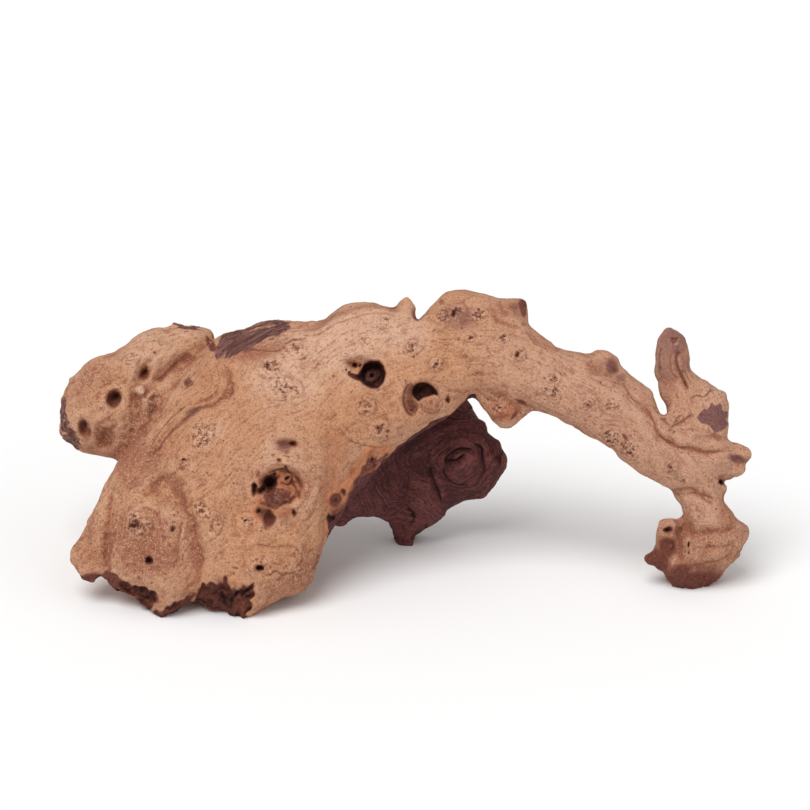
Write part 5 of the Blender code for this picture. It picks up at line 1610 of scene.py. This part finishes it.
# %% Shader maths
class Value:
    """A socket of a finish. Arithmetic on it adds Math nodes."""

    def __init__(self, tree, socket):
        self.tree, self.socket = tree, socket

    def node(self, kind, settings=None, inputs=None, output=0):
        """Adds a node: its settings first, then the values or links of its sockets."""
        node = self.tree.nodes.new("ShaderNode" + kind)
        for key, value in (settings or {}).items():
            setattr(node, key, value)
        for key, value in (inputs or {}).items():
            if isinstance(value, Value):
                self.tree.links.new(value.socket, node.inputs[key])
            else:
                node.inputs[key].default_value = value
        return Value(self.tree, node.outputs[output])

    def maths(self, operation, first, second):
        return self.node("Math", {"operation": operation}, {0: first, 1: second})

    def __add__(self, other):
        return self.maths("ADD", self, other)

    __radd__ = __add__

    def __sub__(self, other):
        return self.maths("SUBTRACT", self, other)

    def __rsub__(self, other):
        return self.maths("SUBTRACT", other, self)

    def __mul__(self, other):
        return self.maths("MULTIPLY", self, other)

    __rmul__ = __mul__

    def between(self, low, high):
        """0 at low, 1 at high, smooth in between. High may be the smaller one."""
        return self.node("MapRange", {"interpolation_type": "SMOOTHSTEP"}, {0: self, 1: low, 2: high})

    def stretched(self, scale):
        """A vector with each axis scaled."""
        return self.node("VectorMath", {"operation": "MULTIPLY"}, {0: self, 1: scale})

    def noise(self, scale, detail=2.0, roughness=0.5, turn=None):
        """Noise around 0.5, read at this vector. A turn makes it change in a fourth direction too."""
        inputs = {"Vector": self, "Scale": scale, "Detail": detail, "Roughness": roughness}
        if turn is None:
            return self.node("TexNoise", {}, inputs)
        return self.node("TexNoise", {"noise_dimensions": "4D"}, {**inputs, "W": turn})

    def read(self, name, output="Fac"):
        """An attribute of the skin."""
        return self.node("Attribute", {"attribute_name": name}, output=output)

    def mix(self, first, second):
        """The first colour where this is 0, the second where it is 1."""
        return self.node("Mix", {"data_type": "RGBA"}, {0: self, 6: first, 7: second}, 2)

    def towards(self, colour, share):
        """This colour mixed with another by a share."""
        return share.mix(self, colour)


print("shader maths is ready")

# %% [markdown]
# Bare mopani is tan and cream in broad clouds. On top lie the fibres: short dark dashes on the crown,
# longer hairs on the arch, a fine stipple where the sand has opened the pores, and broken lines around
# every knot and along every furrow. The stains are mixed in after that, from the red of a furrow to the
# near black of a hole, which is partly painted shade.
#
# The lines around knots come from noise that changes fast with the distance from the knot and slowly
# through space, so they wander, fade and join like real ones. Every stain is mixed with noise, so its edge
# is ragged.
#
# The finish is built in layers, each laid over the colour that the layers before it have left. All pieces
# share the recipe, because one root grew them all. Colours are linear light.

# %% The wood finish
TAN, CREAM, DEEP_TAN = (0.505, 0.252, 0.139, 1), (0.675, 0.422, 0.295, 1), (0.33, 0.132, 0.071, 1)
OCHRE, PINK_TAN = (0.52, 0.240, 0.112, 1), (0.53, 0.288, 0.192, 1)
FIBRE, RUST = (0.240, 0.092, 0.052, 1), (0.290, 0.096, 0.052, 1)
AMBER, AMBER_DARK = (0.600, 0.248, 0.118, 1), (0.300, 0.090, 0.044, 1)
UMBER, UMBER_LIGHT = (0.105, 0.030, 0.021, 1), (0.200, 0.062, 0.040, 1)
PLUM, PLUM_DARK = (0.230, 0.104, 0.092, 1), (0.140, 0.056, 0.050, 1)
BARK_BROWN, BARK_GREY = (0.095, 0.036, 0.030, 1), (0.230, 0.108, 0.090, 1)
HEART, HEART_LIGHT = (0.062, 0.018, 0.019, 1), (0.190, 0.060, 0.053, 1)
SPECK, BLACK = (0.110, 0.034, 0.022, 1), (0.016, 0.006, 0.005, 1)
LINE_EVERY, LINE_SCALE = 1.35, 55


class Wood:
    """What the layers of the finish read: the stains, the grain, and noise of several sizes."""

    def __init__(self, start):
        self.read = start.read
        # edge is how far the skin stands out: painted light on ridges and painted shade in hollows, with wear
        # and dust.
        self.edge, self.brushed = start.read("broad_shading_and_wear"), start.read("brushed")
        self.read_noise(start.node("TexCoord", output="Object"))
        self.read_grain(start.read("grain", "Vector"))

    def read_noise(self, place):
        """Noise that fills space, from broad clouds to grit."""
        self.clouds, self.patches = place.noise(26, 3, 0.55), place.noise(75, 3, 0.6)
        self.golden = place.noise(17, 2, 0.5).between(0.42, 0.62)
        self.blots, self.stipple = place.noise(430, 2, 0.65), place.noise(900, 2, 0.75)
        self.pores, self.grit = place.noise(420, 1).between(0.29, 0.22), place.noise(2300, 1)
        specks = 0.46 * self.read("speck") + 1.6 * (0.5 - self.stipple) + 1.1 * (0.5 - self.blots)
        self.specks = specks.between(0.42, 0.75)
        turn = self.read("ring") * (1 / LINE_SCALE / LINE_EVERY)
        self.lines = place.noise(LINE_SCALE, 2, 0.6, turn)
        self.rings = self.lines.between(0.49, 0.37) * self.read("swirl")

    def read_grain(self, along):
        """Noise that is long along the grain: dashes on the crown, hairs on the arch, bands and streaks."""
        dashes = along.stretched((0.42, 1.5, 1.5)).noise(1, 2, 0.6)
        long_hairs = along.stretched((0.13, 1.4, 1.4)).noise(1, 3, 0.65)
        self.hairs = dashes + self.brushed * (long_hairs - dashes)
        self.bands = along.stretched((0.03, 0.34, 0.34)).noise(1, 3, 0.55)
        self.streaks = along.stretched((0.05, 0.6, 0.6)).noise(1, 3, 0.7)
        wander = along.stretched((0.035, 0.2, 0.2)).noise(1, 2, 0.5) - 0.5
        thin = wander.maths("ABSOLUTE", wander, 0).between(0.008, 0.002)
        self.hairline = thin * self.patches.between(0.5, 0.64)

    def ragged(self, name, low, high):
        """How much of a stain shows, with an edge that noise has torn."""
        return (self.read(name) + 0.5 * (self.patches - 0.5) + 0.3 * (self.stipple - 0.5)).between(low, high)


def bare(wood):
    """Tan and cream in clouds and bands, golden on the crown and pinker on the arch."""
    paleness = 0.1 + 0.7 * (wood.clouds - 0.5) + (0.25 + 0.45 * wood.brushed) * (wood.bands - 0.5)
    # Ridges paler and hollows deeper tan: wear and dust, and painted light and shade. Deep adds painted shade
    # too.
    paleness = (paleness + 0.8 * wood.read("pale") + 0.18 * wood.edge).between(-0.15, 1)
    deepness = 0.85 * wood.read("deep") + 0.9 * (wood.patches - 0.5) - 0.35 * wood.edge
    colour = paleness.mix(TAN, CREAM)
    colour = colour.towards(OCHRE, wood.golden * (0.6 - 0.5 * wood.brushed))
    colour = colour.towards(PINK_TAN, 0.7 * wood.brushed)
    return colour.towards(DEEP_TAN, 0.9 * deepness.between(0, 1))


def lined(colour, wood):
    """Fibres, the lines around knots, the red of furrows, and red-brown dust and painted shade in hollows."""
    dark_hairs = wood.hairs.between(0.49, 0.35) * wood.patches.between(0.3, 0.62)
    colour = colour.towards(FIBRE, (0.20 + 0.34 * wood.brushed) * dark_hairs)
    colour = colour.towards(FIBRE, (0.12 + 0.16 * wood.brushed) * wood.bands.between(0.46, 0.34))
    colour = colour.towards(FIBRE, 0.42 * wood.rings)
    colour = colour.towards(RUST, 0.5 * wood.hairline)
    # Creases and broad hollows are painted red-brown: dust, and painted shade.
    colour = colour.towards(RUST, 0.50 * wood.read("fine_shade_and_dust").between(0.1, -0.9))
    colour = colour.towards(RUST, 0.65 * wood.edge.between(-0.35, -1.0))
    red = wood.read("red") + 0.8 * (wood.hairs - 0.5) + 0.40 * (wood.patches - 0.5)
    red = red + 0.3 * (wood.blots - 0.5)
    return colour.towards(RUST, 0.80 * red.between(0.05, 1))


def stippled(colour, wood):
    """Open pores, and crumbs of pale wood between them."""
    deep = wood.read("deep")
    colour = colour.towards(FIBRE, (0.68 + 0.3 * deep) * wood.stipple.between(0.47, 0.30))
    colour = colour.towards(FIBRE, 0.50 * wood.blots.between(0.45, 0.30))
    return colour.towards(CREAM, (0.44 + 0.25 * deep) * wood.stipple.between(0.53, 0.68))


def stained(colour, wood):
    """Resin, plum, umber and old bark."""
    mottled = 0.35 * wood.hairs + 0.65 * wood.patches
    amber = mottled.between(0.34, 0.58).mix(AMBER_DARK, AMBER)
    colour = colour.towards(amber, (wood.read("amber") + 0.5 * (wood.patches - 0.5)).between(0.1, 0.95))
    plum = wood.stipple.between(0.35, 0.6).mix(PLUM_DARK, PLUM)
    colour = colour.towards(plum, wood.ragged("plum", 0.08, 0.9))
    mottled = 0.3 * wood.hairs + 0.35 * wood.blots + 0.35 * wood.stipple
    umber = mottled.between(0.40, 0.60).mix(UMBER, UMBER_LIGHT)
    colour = colour.towards(umber, wood.ragged("umber", 0.1, 0.85))
    bark = wood.streaks.between(0.40, 0.62).mix(BARK_BROWN, BARK_GREY)
    remains = wood.read("bark") + 0.6 * (wood.streaks - 0.5) + 0.5 * (wood.patches - 0.5)
    return colour.towards(bark, remains.between(0.25, 0.7))


def speckled(colour, wood):
    """Dark specks in the knots, and pores everywhere."""
    speck, blots = wood.read("speck"), wood.blots
    rosette = speck.between(0.12, 0.6) * blots.between(0.52, 0.36)
    colour = colour.towards(RUST, 0.55 * rosette)
    colour = colour.towards(CREAM, 0.5 * speck * blots.between(0.50, 0.62))
    colour = colour.towards(SPECK, 0.70 * wood.specks)
    return colour.towards(SPECK, 0.65 * wood.pores)


def darkened(colour, wood):
    """Heartwood with faint lighter years and paler ridges, then near black over holes, partly painted shade.
    """
    # The heartwood's ridges are made lighter, partly as painted light.
    light = 0.42 * wood.lines.between(0.38, 0.58) + 0.4 * wood.hairs.between(0.4, 0.65) + 0.3 * wood.edge
    light = light + 0.9 * (wood.clouds - 0.5) + 1.3 * (wood.stipple - 0.5) + 0.9 * (wood.blots - 0.5)
    heart = light.between(0.0, 1.15).mix(HEART, HEART_LIGHT)
    colour = colour.towards(heart, (wood.read("heart") + 0.3 * (wood.hairs - 0.5)).between(0.35, 0.65))
    # Near black in holes, sockets and cracks: dark rot, and painted shade.
    return colour.towards(BLACK, (wood.read("hollow") + 0.15 * (wood.stipple - 0.5)).between(0.1, 0.9))


def fine_height(wood):
    """The relief that is finer than the faces of the skin."""
    height = 0.5 * wood.hairs + 0.5 * wood.stipple + 0.5 * wood.blots + 0.2 * wood.grit - 0.3 * wood.rings
    not_heart = wood.read("heart").between(0.8, 0.2)
    return height - not_heart * (0.5 * wood.specks + 0.7 * wood.pores + 0.6 * wood.hairline)


def wood_finish(slot):
    """One material, made of all the layers."""
    finish = bpy.data.materials.new(slot)
    finish.use_nodes = True
    tree = finish.node_tree
    shader = tree.nodes["Principled BSDF"]
    start = Value(tree, shader.outputs[0])
    wood = Wood(start)
    colour = bare(wood)
    for layer in (lined, stippled, stained, speckled, darkened):
        colour = layer(colour, wood)
    roughness = 0.76 + 0.22 * (wood.patches - 0.5)
    bump = start.node("Bump", {}, {"Strength": 0.9, "Distance": 0.0008, "Height": fine_height(wood)})
    for name, value in {"Base Color": colour, "Roughness": roughness, "Normal": bump}.items():
        tree.links.new(value.socket, shader.inputs[name])
    shader.inputs["Specular IOR Level"].default_value = 0.16
    return finish


finishes = {slot: wood_finish(slot) for slot in dict.fromkeys(slot for _, slot in PIECES.values())}
for name, piece in pieces.items():
    piece.data.materials.clear()
    piece.data.materials.append(finishes[PIECES[name][1]])
print("finishes:", ", ".join(finishes))

# %% [markdown]
# The floor is a plain matt white board, so that only the root's soft shadow is seen on it.

# %% The floor's finish
FLOOR_WHITE = (0.93, 0.93, 0.93, 1)
white = bpy.data.materials.new("white_board")
white.use_nodes = True
board = white.node_tree.nodes["Principled BSDF"]
board.inputs["Base Color"].default_value = FLOOR_WHITE
board.inputs["Roughness"].default_value = 0.9
floor.data.materials.append(white)
print("floor:", FLOOR_SIZE, "m wide")

# %% [markdown]
# Last, each piece is fixed to the root's one body and stands for the solid that it was grown over.

# %% Fixing the pieces
for name, piece in pieces.items():
    node, slot = PIECES[name]
    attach(piece, "root")
    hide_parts(node)
